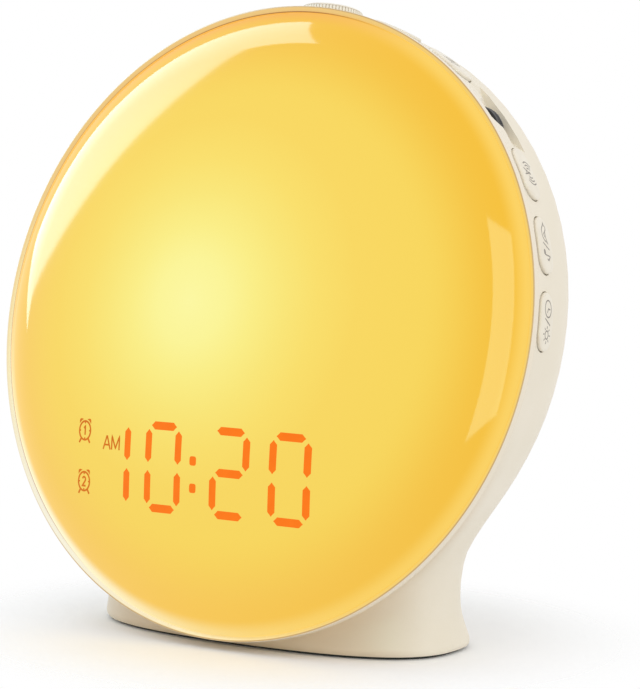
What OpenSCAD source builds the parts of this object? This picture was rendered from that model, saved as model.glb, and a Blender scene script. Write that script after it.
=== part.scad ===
// Sunrise alarm clock: a round lit front that leans back on a flared foot.
// The floor is at z = 0 and the lit front faces -Y. Sizes are in millimetres.

/* [Lit front] */
// Radius of the round front over its lip
disc_r = 91.5; // [88:0.5:96]
// Gap between the floor and the lowest point of the lip
rim_gap = 3; // [2:0.1:5]
// Angle by which the disc leans back from upright
disc_lean = 12.8; // [8:0.1:16]
// Width of the lip round the lit dome
lip_w = 1.4; // [1:0.1:2.5]
// Drop of the lip from its outer to its inner edge
lip_drop = 0.65; // [0.3:0.05:1.2]
// Radius of the sphere that the middle of the dome follows
cap_r = 300; // [260:5:360]
// Width of the band that rolls over at the dome's edge
roll_w = 12; // [10:0.5:14]
// Radius of that roll
roll_r = 30; // [26:1:40]
// Thickness of the dome wall
dome_wall = 2.2; // [1.6:0.1:2.8]

/* [Case] */
// Depth of the case behind the rim of the disc
case_depth = 41; // [39:0.5:46]
// Radius of the rounded rear edge of the case
case_round = 18.3; // [14:0.1:20]
// Slope of the case wall, full at the bottom and nothing at the top
case_taper = 0.16; // [0.1:0.01:0.18]
// Thickness of the case wall
case_wall = 3; // [2.6:0.1:3.6]

/* [Foot] */
// Half of the foot's width at its waist
foot_half_w = 57.8; // [52:0.2:62]
// Height of that waist above the floor
waist_h = 11.8; // [8:0.2:14]
// How fast the sides flare out above and below the waist
flare = 0.0474; // [0.03:0.001:0.06]
// Power of that flare
flare_power = 1.57; // [1.4:0.01:1.7]
// Distance of the foot's front from the disc centre at the floor
foot_front = 12.5; // [10:0.5:15]
// Distance of the foot's rear from the disc centre above its tail
foot_rear = 26; // [24:0.5:32]
// How far the tail reaches behind that at the floor
tail_l = 16.5; // [10:0.5:20]
// Power of the foot's rounded outline, 2 for an ellipse
foot_square = 2.6; // [2.2:0.1:3.2]
// Rounding of the foot's bottom edge
foot_edge = 3; // [2:0.5:5]
// Size of the smooth blend between the foot and the case
blend = 6; // [3:0.5:9]
// Gap between the floor and the foot's hard edge
foot_gap = 0.9; // [0.6:0.1:1.5]
// Width of hard edge left round the rubber pad
pad_inset = 1.6; // [1.2:0.1:3]
// Thickness of the rubber pad
pad_h = 1.7; // [1.6:0.1:2.5]
// Thickness of the base plate
base_plate_h = 2.4; // [2:0.1:3]

/* [Controls] */
// Angle of the lowest control above the horizontal
control_start = 3.2; // [0:0.1:5]
// Angle from one control to the next
control_step = 13.43; // [13.2:0.01:14]
// Length of a side button
button_l = 16; // [14:0.2:17]
// Width of a side button
button_w = 9; // [8:0.2:9.4]
// Height of a side button above the case
button_proud = 0.9; // [0.6:0.05:1.2]
// Travel of a side button
button_travel = 0.8; // [0.4:0.05:0.8]
// Depth of the controls' middle line behind the rim
control_depth = 9; // [9:0.1:10]
// Radius of the volume wheel
wheel_r = 9; // [8:0.1:9.4]
// Thickness of the volume wheel
wheel_h = 4; // [3:0.1:4.4]
// Length of the finger scoop round the volume wheel
scoop_l = 27; // [24:0.5:28]
// Depth of the finger scoop
scoop_deep = 3.5; // [3:0.1:4]
// Radius of the dial on top
dial_r = 9.25; // [8:0.05:10]
// Depth of the dial's axis behind the rim
dial_depth = 19.5; // [18:0.1:21]
// Height of the dial's top above the case
dial_proud = 4.2; // [3:0.1:7]
// Number of ribs round the dial
dial_ribs = 36; // [24:1:40]

/* [Display] */
// Distance between the two columns of a digit
digit_w = 11; // [9:0.1:12]
// Distance from one digit to the next
digit_pitch = 19.6; // [18:0.1:20]
// Length of an upright segment
segment_l = 9.2; // [8:0.1:10]
// Width of a segment
segment_w = 2.3; // [1.8:0.1:2.5]
// Gap between the tips of two upright segments
segment_gap = 2.4; // [2:0.1:3]
// Height of the digits' middle below the disc centre
digit_drop = 45.1; // [43:0.1:46]

/* [Inside] */
// Radius of the lamp board
lamp_board_r = 40; // [30:1:42]
// Number of lamps in the outer ring
lamp_count = 16; // [8:1:20]
// Thickness of every circuit board
board_h = 1.6; // [1.2:0.1:2]
// Radius of the loudspeaker
speaker_r = 25; // [20:0.5:26]
// Radius of the rear cover
rear_r = 60; // [58:0.5:62]
// Height of the rear cover's dome
rear_dome = 5; // [4:0.5:8]
// Thickness of the rear cover
rear_wall = 2.4; // [2:0.1:2.8]

/* [Fits] */
// Gap between a moving piece and what surrounds it
move_gap = 0.3; // [0.3:0.05:0.4]
// Radial clearance of a shaft in its bearing
run_fit = 0.05; // [0.02:0.01:0.09]
// Radial clearance of a fixed piece in its seat
seat_fit = 0.1; // [0.05:0.01:0.15]

/* [Hidden] */
$fn = 96;
fine = 360;
over = 1;
far = 160;
cos_lean = cos(disc_lean);
sin_lean = sin(disc_lean);
disc_z = rim_gap + disc_r * cos_lean;

// Steps of the round front, as depths behind the rim or radii from the disc's axis
dome_r = disc_r - lip_w - seat_fit;
lip_h = 0.85;
lip_round = 0.25;
lip_proud = 0.3;
shelf_h = 1.1;
shelf_t = lip_drop + lip_h;
case_front_t = shelf_t + shelf_h;
collar_h = 3.4;
collar_t = case_front_t + collar_h;
flange_h = 1.5;
ledge_t = collar_t + flange_h;
ledge_h = 1;
ledge_w = 2;
rim_w = 5.2;
case_r = disc_r - lip_proud;
bore_r = case_r - rim_w;
collar_w = 0.9;
skirt_r = bore_r - seat_fit - collar_w - seat_fit;
skirt_w = 2.2;

// Arcs of the dome: a wide cap and a tighter roll that meet in one tangent
roll_start = dome_r - roll_w;
cap_angle = asin(roll_start / cap_r);
rim_angle = asin(sin(cap_angle) + (dome_r - roll_start) / roll_r);
roll_x = roll_start - roll_r * sin(cap_angle);
roll_y = -lip_drop - roll_r * cos(rim_angle);
cap_y = roll_y - (cap_r - roll_r) * cos(cap_angle);
dome_h = cap_y + cap_r;

// The origin lies midway between the dome's front and the rounded rear of the case
front_y = -cap_y * cos_lean - cap_r;
rear_y = (case_depth - case_round) * cos_lean + (case_r - case_round) * sin_lean + case_round;
disc_forward = (front_y + rear_y) / 2;

// Grids of the housing's skin: the case seen from a point inside it, and the foot level by level
heart_v = -18.8;
heart_t = 16.6;
case_turns = 84;
case_rings = 18;
cavity_turns = 60;
cavity_rings = 8;
foot_turns = 96;
foot_lean = 10;
edge_levels = 4;
foot_levels = 14;
split_h = 38;
halvings = 20;
front_reach = 4;
case_nearest = 5;
foot_nearest = 2;
foot_top = 56;
tail_h = 60;
tail_power = 1.6;
front_rise = 0.11;
outline_steps = 64;
drum_low = disc_z - case_r * cos_lean;

// Lamp bowl and what stands on it
bowl_deep = 8;
bowl_wall = 1.5;
bowl_slope = 5;
bowl_skin = 1.3;
bowl_floor_t = collar_t + bowl_deep;
bowl_back_t = bowl_floor_t + bowl_wall;
bowl_rim_w = 14.4;
bowl_top_r = skirt_r - bowl_rim_w;
bowl_floor_r = bowl_top_r - bowl_slope;
lamp_v = 20;
lamp_w = 3;
lamp_h = 1.2;
lamp_margin = 6;
lamp_ring_r = lamp_board_r - lamp_margin;

// Display: the face lies parallel to the rim, just inside the dome
face_h = 3.4;
display_reach = 5;
display_r = bowl_top_r + display_reach;
display_gap = 0.8;
display_margin = 3;
clock_u = -4.15;
colon_w = 4;
colon_u = clock_u - 0.7;
colon_drop = 1.2;
colon_rise = 3.8;
dot_r = 1.25;
half_day_u = digit_u(0) - 0.45;
half_day_rise = [5.7, -6.5];
half_day_w = 6.4;
half_day_h = 4;
mark_u = digit_u(0) - 11.65;
mark_rise = [8.4, -6.2];
mark_r = 4.6;
insert_h = 1.2;
insert_fit = 0.08;
display_half_h = segment_l + segment_gap + segment_w / 2 + display_margin;
display_left = mark_u - mark_r - display_margin;
display_right = digit_u(3) + (digit_w + segment_w) / 2 + display_margin;

// Controls on the right flank, counted from the lowest one; the volume wheel has the fourth place
button_places = [0, 1, 2, 4, 5];
wheel_place = 3;
pocket_deep = 1.8;
cap_h = button_proud + pocket_deep - button_travel - 2 * move_gap;
cap_edge = 0.7;
cap_soft = 0.2;
stem_r = 1.4;
stem_offset = 2.7;
stem_free = 0.9;
stem_foot_r = 2;
stem_foot_h = 1;
stem_reach = case_wall + stem_free + stem_foot_h;
switch_w = 6.2;
switch_deep = 3.5;
switch_half_h = 2.6;
switch_gap = 0.25;
plunger_r = 1.3;
plunger_l = 0.9;
board_behind = 5.6;
button_board_t = control_depth + board_behind;
board_free = 1.7;
button_board_in = bowl_floor_r + bowl_skin + board_free;
button_board_out = bore_r - ledge_w;
button_board_low = -0.17;
button_board_high = 0.5;
wheel_t = control_depth;
wheel_sunk = 0.5;
wheel_angle = place_angle(wheel_place);
wheel_axis_r = place_r(wheel_place) - wheel_sunk - wheel_r;
wheel_shaft_r = 2;
control_body_r = 5.2;
control_body_h = 6;
control_floor = 1;
scoop_w = 7;
post_r = 2.6;
post_in = 7;
post_ring_r = button_board_in + post_in;
post_angles = [-3.5, 23.4, 63.6];

// Dial on the top of the case
dial_sink = 1.6;
dial_base_v = case_r - dial_sink + move_gap;
dial_top_v = case_r + dial_proud;
dial_shaft_r = 3;
dial_round = 1.2;
dial_crown = 1;
rib_r = 0.45;
encoder_w = 12;
encoder_h = 6.6;
inner_round = case_round - case_wall;
encoder_past = max(dial_depth + encoder_w / 2 - (case_depth - case_round), 0);
encoder_drop = inner_round - sqrt(pow(inner_round, 2) - pow(encoder_past, 2));
encoder_top_v = case_r - case_wall - encoder_drop - move_gap;
shaft_deep = 5;
bushing_r = 4;
bushing_proud = 1.9;
bushing_top_v = case_r - dial_sink + bushing_proud;
nut_r = 6.2;
nut_h = 1.6;
dial_wall = 1.6;
hub_r = 4.6;

// Rear cover and its screws
rear_v = case_taper * case_depth;
rear_rim_h = 2.2;
rear_lip = 0.3;
rear_land = 4.2;
opening_step = 1.5;
opening_r = rear_r - rear_land - opening_step;
rear_ball_r = (rear_r * rear_r + rear_dome * rear_dome) / (2 * rear_dome);
rear_ball_z = rear_lip + rear_dome - rear_ball_r;
root = 0.5;
cover_seat = 3.5;
cover_post_h = 4;
cover_screw_ring = 50;
cover_screw_angles = [40, 140, 217, 323];
cover_head_deep = 0.2;
column_r = 3.6;
screw_r = 1.2;
screw_head_r = 2.9;
screw_head_h = 1.6;
screw_free = 0.4;
cross_l = 3.6;
cross_w = 0.7;
cross_deep = 0.8;
pilot_r = screw_r + run_fit;
pilot_l = 12;
cover_screw_l = 12;
board_pilot_l = 8;
board_screw_l = 7;
side_pilot_l = 6.5;
side_screw_l = 6;
base_screw_l = 8;

// Loudspeaker, main board and sockets
speaker_up = 16;
speaker_face = 5;
speaker_flange_w = 4;
speaker_flange_h = 1.5;
speaker_deep = 10;
speaker_hole_r = 5;
speaker_plate_h = 1;
speaker_ring_w = 2;
surround_w = 6;
surround_r = 2;
surround_wall = 0.6;
cone_wall = 0.8;
cone_neck_r = 6.4;
cone_deep = 7;
cone_cap = 1.2;
magnet_r = 11;
magnet_gap = 3.5;
magnet_h = case_depth - speaker_face - speaker_deep - bowl_back_t - magnet_gap;
slot_w = 2.2;
slot_pitch = 5;
slot_half_count = 3;
board_half_w = 34;
board_half_h = 17;
board_v = -27;
board_back = 14;
board_t = case_depth - board_back;
board_margin = 4;
board_post_u = board_half_w - board_margin;
board_post_v = board_half_h - board_margin;
board_post_r = 3;
chip_w = 10;
chip_h = 1.4;
chip_place = [-14, 5];
module_size = [16, 12];
module_h = 2.6;
module_place = [15, 6];
capacitor_r = 4;
capacitor_h = 6.5;
capacitor_place = [-20, -9];
jack_v = -37;
jack_size = [11, 10];
jack_collar = 3;
jack_proud = 1.5;
jack_barrel_r = 5.2;
jack_free = 0.3;
jack_hole_r = 3.1;
jack_hole_deep = 8;
jack_pin_r = 1;
jack_pin_back = 0.5;
bush_u = 18;
bush_r = 2.6;
bush_deep = 3.5;
bush_flange_w = 1;
bush_flange_h = 1.2;
bush_hole_r = 0.8;
bush_rise = dome_rise(norm([bush_u, jack_v - rear_v]) - bush_r - bush_flange_w) + run_fit;

// Foot
plate_top = pad_h + base_plate_h;
foot_pocket_inset = 6.5;
foot_pocket_h = 14;
foot_screw_u = 44;
foot_screw_y = 11;
foot_boss_r = 4.2;
foot_screw_free = 0.3;

// Carries the children from the disc's own axes, x right, y up and z out of the front, to the clock's
module on_disc()
    translate([0, -disc_forward, disc_z])
        rotate([90 - disc_lean, 0, 0])
            children();

// Middle of the rear cover, with z pointing out of the rear
module on_rear()
    on_disc()
        translate([0, rear_v, -case_depth])
            rotate([0, 180, 0])
                children();

// A length along the disc's axis between two depths behind the rim
module between(t0, t1)
    translate([0, 0, -t1])
        linear_extrude(t1 - t0)
            children();

function depth_of(y, h) = y * cos_lean - (h - disc_z) * sin_lean;
function smooth_min(a, b, k) = min(a, b) - pow(max(k - abs(a - b), 0), 2) / (4 * k);

// Distance from the drum: its sections are circles that shrink and climb with depth
function drum_field(x, v, t, inset) =
    let (
        round_r = case_round - inset,
        side = norm([x, v - case_taper * t]) - (case_r - inset - case_taper * t - round_r),
        back = t - (case_depth - inset - round_r)
    )
    max(norm([max(side, 0), max(back, 0)]) + min(max(side, back), 0) - round_r, -t - front_reach);

// Sizes of the foot's outline at a height: half width, half depth and the middle of the depth
function edge_cut(h) = foot_edge - sqrt(pow(foot_edge, 2) - pow(min(max(foot_edge - h, 0), foot_edge), 2));
function foot_a(h) = foot_half_w + flare * pow(abs(h - waist_h), flare_power) - edge_cut(h);
function foot_y0(h) = front_rise * h - foot_front;
function foot_y1(h) = foot_rear + tail_l * pow(max(1 - h / tail_h, 0), tail_power);
function foot_b(h) = (foot_y1(h) - foot_y0(h)) / 2 - edge_cut(h);
function foot_c(h) = (foot_y1(h) + foot_y0(h)) / 2;

// Distance from the foot, whose level sections are rounded oblongs
function foot_field(x, y, h) =
    let (
        dy = y - foot_c(h),
        reach = norm([x, dy]),
        wide = pow(abs(x) / foot_a(h), foot_square),
        deep = pow(abs(dy) / foot_b(h), foot_square),
        share = pow(wide + deep, 1 / foot_square)
    )
    max(share < 0.01 ? -foot_b(h) : reach - reach / share, h - foot_top, -h);

// The whole body: the drum alone inside, and the drum blended with the foot outside
function body_field(p, inset) =
    let (
        drum = drum_field(p[0], p[1], p[2], inset),
        y = p[1] * sin_lean + p[2] * cos_lean,
        h = disc_z + p[1] * cos_lean - p[2] * sin_lean
    )
    inset > 0 ? drum : smooth_min(drum, foot_field(p[0], y, h), blend);

// Where a straight way from a start inside leaves the body, found by halving
function leave(start, way, inset, near, wide, n) =
    let (middle = (near + wide) / 2, p = start + way * middle)
    n == 0 ? p
    : body_field(p, inset) < 0 ? leave(start, way, inset, middle, wide, n - 1)
    : leave(start, way, inset, near, middle, n - 1);

// Ring of points from its half at x above zero, which runs from one end of the middle plane to the other
function whole_ring(half) =
    [for (i = [0:2 * len(half) - 3]) let (p = half[i < len(half) ? i : 2 * len(half) - 2 - i])
        [i < len(half) ? p[0] : -p[0], p[1], -p[2]]];

// Direction of a ray: turn runs round from the bottom and tip from the rear to the front
function way(turn, tip) = [sin(tip) * sin(turn), -sin(tip) * cos(turn), cos(tip)];
function tip_of(p) = atan2(norm([p[0], p[1] - heart_v]), p[2] - heart_t);

// Points of the case's edge at a depth, and of a circle as wide as the rear opening
function edge_point(turn, t, inset) =
    leave([0, heart_v, t], way(turn, 90), inset, case_nearest, far, halvings);
function opening_point(turn, t) =
    let (e = heart_v - rear_v, along = e * cos(turn) + sqrt(pow(opening_r, 2) - pow(e * sin(turn), 2)))
    [along * sin(turn), heart_v - along * cos(turn), t];

// Rings of the case's wall from the rear opening to its front edge
function case_ring(inset, rear_t, front_t, turns, share) =
    whole_ring([for (i = [0:turns / 2])
        let (turn = 360 * i / turns, rear = opening_point(turn, rear_t), front = edge_point(turn, front_t, inset),
            tip = tip_of(rear) + (tip_of(front) - tip_of(rear)) * share)
        share == 0 ? rear
        : share == 1 ? front
        : leave([0, heart_v, heart_t], way(turn, tip), inset, case_nearest, far, halvings)]);

// Level of a foot ring: close together round the bottom edge and where the case swings up from the floor
function level_at(j) =
    j < edge_levels ? foot_gap + (drum_low - foot_gap) * j / edge_levels
    : drum_low + (split_h - drum_low) * pow((j - edge_levels) / foot_levels, 2);
function level_start(h) =
    [0, foot_c(h) * sin_lean + (h - disc_z) * cos_lean, foot_c(h) * cos_lean - (h - disc_z) * sin_lean];
function foot_ring(h) =
    whole_ring([for (i = [0:foot_turns / 2])
        let (q = 360 * i / foot_turns, turn = q + foot_lean * sin(2 * q))
        leave(level_start(h), [sin(turn), -cos(turn) * sin_lean, -cos(turn) * cos_lean],
            0, foot_nearest, far, halvings)]);

// Closed skin over rings of points that run the same way round, with a middle point at each end
module skin(rings, ends) {
    turns = len(rings[0]);
    last = (len(rings) - 1) * turns;
    faces = [for (i = [0:turns - 1]) let (k = (i + 1) % turns) each concat(
        [[i, k, last + turns], [last + k, last + i, last + turns + 1]],
        [for (a = [0:turns:last - 1]) each i < turns / 2
            ? [[a + i, a + k + turns, a + k], [a + i, a + i + turns, a + k + turns]]
            : [[a + i, a + i + turns, a + k], [a + k, a + i + turns, a + k + turns]]]
    )];
    polyhedron(points = concat([for (ring = rings) each ring], ends), faces = faces, convexity = 6);
}

module case_skin(inset, rear_t, front_t, turns, rings)
    skin([for (j = [0:rings]) case_ring(inset, rear_t, front_t, turns, j / rings)],
        [[0, rear_v, -rear_t], [0, 0, -front_t]]);

// The whole body without its cavity: the foot up to the split, and the case above it
module body() {
    intersection() {
        on_disc()
            case_skin(0, case_depth, case_front_t - over, case_turns, case_rings);
        translate([-far, -far, split_h])
            cube(2 * far);
    }
    on_disc()
        skin([for (j = [0:edge_levels + foot_levels]) foot_ring(level_at(j))],
            [for (h = [foot_gap, split_h]) let (p = level_start(h)) [0, p[1], -p[2]]]);
}

// Rounded oblong of the foot at the floor, drawn in by an inset
module foot_outline(inset) {
    a = foot_a(foot_gap) - inset;
    b = foot_b(foot_gap) - inset;
    translate([0, foot_c(foot_gap) - disc_forward])
        polygon([for (i = [0:outline_steps - 1]) let (q = 360 * i / outline_steps)
            [a * sign(cos(q)) * pow(abs(cos(q)), 2 / foot_square),
             b * sign(sin(q)) * pow(abs(sin(q)), 2 / foot_square)]]);
}

module foot_screw_places()
    for (u = [-foot_screw_u, foot_screw_u])
        for (y = [-foot_screw_y, foot_screw_y])
            translate([u, foot_c(foot_gap) - disc_forward + y, 0])
                children();

// Half section of the dome, drawn in by an amount and cut off at a radius
module dome_section(inset, out_r) {
    split = roll_start - inset * sin(cap_angle);
    intersection() {
        translate([0, cap_y])
            circle(r = cap_r - inset, $fn = fine);
        translate([0, -collar_t - over])
            square([split, dome_h + collar_t + 2 * over]);
    }
    intersection() {
        translate([roll_x, roll_y])
            circle(r = roll_r - inset, $fn = fine);
        translate([split, -collar_t - over])
            square([out_r - split, dome_h + collar_t + 2 * over]);
    }
}

module front_diffuser()
    color([1, 0.84, 0.45])
        on_disc()
            rotate_extrude($fn = fine)
                difference() {
                    union() {
                        intersection() {
                            dome_section(0, dome_r);
                            translate([0, -shelf_t])
                                square([dome_r, dome_h + shelf_t + over]);
                        }
                        translate([skirt_r - skirt_w, -collar_t])
                            square([skirt_w, collar_t]);
                    }
                    dome_section(dome_wall, skirt_r - skirt_w);
                }

module bezel_ring()
    color([0.93, 0.84, 0.62])
        on_disc()
            rotate_extrude($fn = fine)
                polygon([
                    [skirt_r + seat_fit, -shelf_t],
                    [dome_r + seat_fit, -shelf_t],
                    [dome_r + seat_fit, -lip_drop],
                    [disc_r - lip_round, 0],
                    [disc_r, -lip_round],
                    [disc_r, -case_front_t],
                    [bore_r - seat_fit, -case_front_t],
                    [bore_r - seat_fit, -collar_t],
                    [skirt_r + seat_fit, -collar_t]
                ]);

// Angle and outside radius of a control's place on the flank
function place_angle(i) = control_start + control_step * i;
function place_slope(i) = case_taper * (1 - sin(place_angle(i)));
function place_r(i) = case_r - place_slope(i) * control_depth;

// Puts the children on the case wall at a place, x straight out of the wall and z towards the front
module at_place(i, swing)
    on_disc()
        rotate([0, 0, place_angle(i) + swing])
            translate([place_r(i), 0, -control_depth])
                rotate([0, atan(place_slope(i)), 0])
                    children();

// Outline of a button, grown on every side
module button_outline(grow)
    round_bar(button_l / 2 + grow, button_w / 2 + grow);

// One round slice of a button cap, with a softened upper edge
module cap_coin()
    translate([button_proud - cap_h, 0, 0])
        rotate([0, 90, 0]) {
            cylinder(r = button_w / 2, h = cap_h - cap_edge, $fn = 32);
            cylinder(r = button_w / 2 - cap_soft, h = cap_h - cap_soft, $fn = 32);
            cylinder(r = button_w / 2 - cap_edge, h = cap_h, $fn = 32);
        }

module side_button(i) {
    swing = (button_l - button_w) / 2 / place_r(i) * 180 / PI;
    hull()
        for (share = [-1:0.5:1])
            at_place(i, share * swing)
                cap_coin();
    at_place(i, 0)
        translate([0, 0, -stem_offset])
            rotate([0, -90, 0]) {
                cylinder(r = stem_r, h = stem_reach);
                translate([0, 0, stem_reach - stem_foot_h])
                    cylinder(r = stem_foot_r, h = stem_foot_h);
            }
}

// Pocket in the wall for a button, with the hole for its stem
module button_pocket(i) {
    at_place(i, 0)
        translate([-pocket_deep, 0, 0])
            rotate([90, 0, 90])
                linear_extrude(far - place_r(i))
                    button_outline(move_gap);
    at_place(i, 0)
        translate([0, 0, -stem_offset])
            rotate([0, -90, 0])
                cylinder(r = stem_r + run_fit, h = case_wall + 2 * over);
}

// Finger scoop and slot for the volume wheel
module wheel_pocket() {
    sag = case_r - sqrt(case_r * case_r - scoop_l * scoop_l / 4);
    scoop_r = (scoop_l * scoop_l / 4 + pow(scoop_deep - sag, 2)) / (2 * (scoop_deep - sag));
    on_disc()
        rotate([0, 0, wheel_angle]) {
            between(wheel_t - move_gap, wheel_t + scoop_w)
                translate([place_r(wheel_place) - scoop_deep + scoop_r, 0])
                    circle(r = scoop_r, $fn = fine);
            between(wheel_t - move_gap, wheel_t + wheel_h + move_gap)
                translate([wheel_axis_r, 0])
                    circle(r = wheel_r + move_gap);
        }
}

module main_housing()
    color([0.92, 0.88, 0.8])
        difference() {
            body();
            on_disc() {
                case_skin(case_wall, case_depth - case_wall, ledge_t + ledge_h, cavity_turns, cavity_rings);
                between(-far, case_front_t)
                    square(3 * far, center = true);
                between(0, ledge_t)
                    circle(r = bore_r, $fn = fine);
                between(0, ledge_t + ledge_h + over)
                    circle(r = bore_r - ledge_w, $fn = fine);
                translate([0, case_r - dial_sink, -dial_depth])
                    rotate([-90, 0, 0])
                        cylinder(r = dial_r + 2 * move_gap, h = far);
                translate([0, encoder_top_v - over, -dial_depth])
                    rotate([-90, 0, 0])
                        cylinder(r = bushing_r + seat_fit, h = far);
            }
            on_rear() {
                translate([0, 0, -rear_rim_h])
                    cylinder(r = rear_r + seat_fit, h = far, $fn = fine);
                translate([0, 0, -case_wall - over])
                    cylinder(r = rear_r - rear_land, h = far, $fn = fine);
            }
            for (i = button_places)
                button_pocket(i);
            wheel_pocket();
            linear_extrude(plate_top)
                foot_outline(pad_inset);
            difference() {
                translate([0, 0, plate_top - over])
                    linear_extrude(foot_pocket_h - plate_top + over)
                        foot_outline(foot_pocket_inset);
                foot_screw_places()
                    cylinder(r = foot_boss_r, h = foot_pocket_h + over);
            }
            foot_screw_places()
                cylinder(r = pilot_r, h = foot_pocket_h - over);
        }

// Places of the columns that take the rear cover's screws, in the disc's axes
module column_places()
    for (q = cover_screw_angles)
        translate([cover_screw_ring * cos(q), rear_v + cover_screw_ring * sin(q), 0])
            children();

module board_post_places()
    for (u = [-board_post_u, board_post_u])
        for (v = [board_v - board_post_v, board_v + board_post_v])
            translate([u, v, 0])
                children();

module side_post_places()
    for (q = post_angles)
        rotate([0, 0, q])
            translate([post_ring_r, 0, 0])
                children();

module reflector_bowl()
    color([0.97, 0.97, 0.95])
        on_disc()
            difference() {
                union() {
                    rotate_extrude($fn = fine)
                        polygon([
                            [0, -bowl_floor_t],
                            [bowl_floor_r, -bowl_floor_t],
                            [bowl_top_r, -collar_t],
                            [bore_r - seat_fit, -collar_t],
                            [bore_r - seat_fit, -ledge_t],
                            [bowl_top_r + bowl_skin, -ledge_t],
                            [bowl_floor_r + bowl_skin, -bowl_back_t],
                            [0, -bowl_back_t]
                        ]);
                    column_places()
                        between(bowl_floor_t + root, case_depth - cover_seat)
                            circle(r = column_r);
                    board_post_places()
                        between(bowl_floor_t + root, board_t)
                            circle(r = board_post_r);
                    side_post_places()
                        between(collar_t + root, button_board_t)
                            circle(r = post_r);
                }
                column_places()
                    between(case_depth - cover_seat - pilot_l, case_depth)
                        circle(r = pilot_r);
                board_post_places()
                    between(board_t - board_pilot_l, board_t + over)
                        circle(r = pilot_r);
                side_post_places()
                    between(button_board_t - side_pilot_l, button_board_t + over)
                        circle(r = pilot_r);
            }

module lamp_board()
    color([0.9, 0.92, 0.9])
        on_disc()
            between(bowl_floor_t - board_h, bowl_floor_t)
                translate([0, lamp_v])
                    circle(r = lamp_board_r);

module lamp_chips()
    color([1, 0.9, 0.5])
        on_disc()
            translate([0, lamp_v, 0])
                for (ring = [[lamp_count, lamp_ring_r], [lamp_count / 2, lamp_ring_r / 2], [1, 0]])
                    for (i = [0:ring[0] - 1])
                        rotate([0, 0, 360 * i / ring[0]])
                            translate([ring[1], 0, 0])
                                between(bowl_floor_t - board_h - lamp_h, bowl_floor_t - board_h)
                                    square(lamp_w, center = true);

// One segment of a digit, pointed at both ends
module segment(grow) {
    half_l = segment_l / 2 + grow;
    half_w = segment_w / 2 + grow;
    polygon([[-half_w, half_w - half_l], [0, -half_l], [half_w, half_w - half_l],
        [half_w, half_l - half_w], [0, half_l], [-half_w, half_l - half_w]]);
}

// Places of the seven segments, in the usual order from the top one round to the middle one
module segment_at(k) {
    rise = segment_l / 2 + segment_gap / 2;
    level = [2 * rise, rise, -rise, -2 * rise, -rise, rise, 0];
    shift = [0, 1, 1, 0, -1, -1, 0];
    translate([shift[k] * digit_w / 2, level[k]])
        rotate(shift[k] == 0 ? 90 : 0)
            children();
}

function digit_u(n) = clock_u + (n < 2 ? -1 : 1) * colon_w / 2 + (n - 1.5) * digit_pitch;

// Segments that light for ten twenty, and those that stay dark
lit = [[1, 2], [0, 1, 2, 3, 4, 5], [0, 1, 3, 4, 6], [0, 1, 2, 3, 4, 5]];
dark = [[], [6], [2, 5], [6]];

module digits(which, grow)
    for (n = [0:3])
        translate([digit_u(n), -digit_drop])
            for (k = which[n])
                segment_at(k)
                    segment(grow);

module colon(grow)
    for (side = [-1, 1])
        translate([colon_u, side * colon_rise - digit_drop - colon_drop])
            circle(r = dot_r + grow, $fn = 32);

// Windows for the two alarm signs
module alarm_windows(grow)
    for (rise = mark_rise)
        translate([mark_u, rise - digit_drop])
            circle(r = mark_r + grow, $fn = 48);

// Window for the sign of the half of the day: 0 is the upper one for morning and 1 the lower one
module half_day_window(which, grow)
    translate([half_day_u, half_day_rise[which] - digit_drop])
        square([half_day_w + 2 * grow, half_day_h + 2 * grow], center = true);

module display_outline()
    translate([display_left, -digit_drop - display_half_h])
        square([display_right - display_left, 2 * display_half_h]);

module display_housing()
    color([0.2, 0.2, 0.21])
        on_disc()
            difference() {
                intersection() {
                    between(-face_h, bowl_floor_t - board_h)
                        display_outline();
                    rotate_extrude($fn = fine)
                        polygon([[0, -bowl_floor_t], [bowl_floor_r - display_gap, -bowl_floor_t],
                            [bowl_top_r - display_gap, -collar_t], [display_r, -collar_t],
                            [display_r, face_h + over], [0, face_h + over]]);
                }
                between(-face_h - over, bowl_floor_t) {
                    digits(lit, 0);
                    digits(dark, 0);
                    colon(0);
                    half_day_window(0, 0);
                    half_day_window(1, 0);
                }
                between(-face_h - over, bowl_floor_t)
                    alarm_windows(0);
            }

module lit_segments()
    color([1, 0.5, 0.1])
        on_disc()
            between(-face_h, insert_h - face_h) {
                digits(lit, -insert_fit);
                colon(-insert_fit);
                alarm_windows(-insert_fit);
                half_day_window(0, -insert_fit);
            }

module dark_segments()
    color([0.75, 0.6, 0.45])
        on_disc()
            between(-face_h, insert_h - face_h) {
                digits(dark, -insert_fit);
                half_day_window(1, -insert_fit);
            }

module display_board()
    color([0.1, 0.35, 0.2])
        on_disc()
            between(bowl_floor_t - board_h, bowl_floor_t)
                intersection() {
                    display_outline();
                    circle(r = bowl_floor_r - display_gap, $fn = fine);
                }

module main_board()
    color([0.1, 0.35, 0.2])
        on_disc()
            between(board_t, board_t + board_h)
                difference() {
                    translate([-board_half_w, board_v - board_half_h])
                        square([2 * board_half_w, 2 * board_half_h]);
                    board_post_places()
                        circle(r = screw_r + seat_fit);
                }

// A part that stands on the rear of the main board, at a place from the board's middle
module on_board(place, height)
    between(board_t + board_h, board_t + board_h + height)
        translate([place[0], board_v + place[1]])
            children();

module processor_chip()
    color([0.12, 0.12, 0.13])
        on_disc()
            on_board(chip_place, chip_h)
                square(chip_w, center = true);

module radio_module()
    color([0.75, 0.76, 0.78])
        on_disc()
            on_board(module_place, module_h)
                square(module_size, center = true);

module storage_capacitor()
    color([0.15, 0.2, 0.35])
        on_disc()
            on_board(capacitor_place, capacitor_h)
                circle(r = capacitor_r);

// Middle of the loudspeaker, in the rear cover's axes
module at_speaker()
    on_rear()
        translate([0, speaker_up, 0])
            children();

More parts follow.
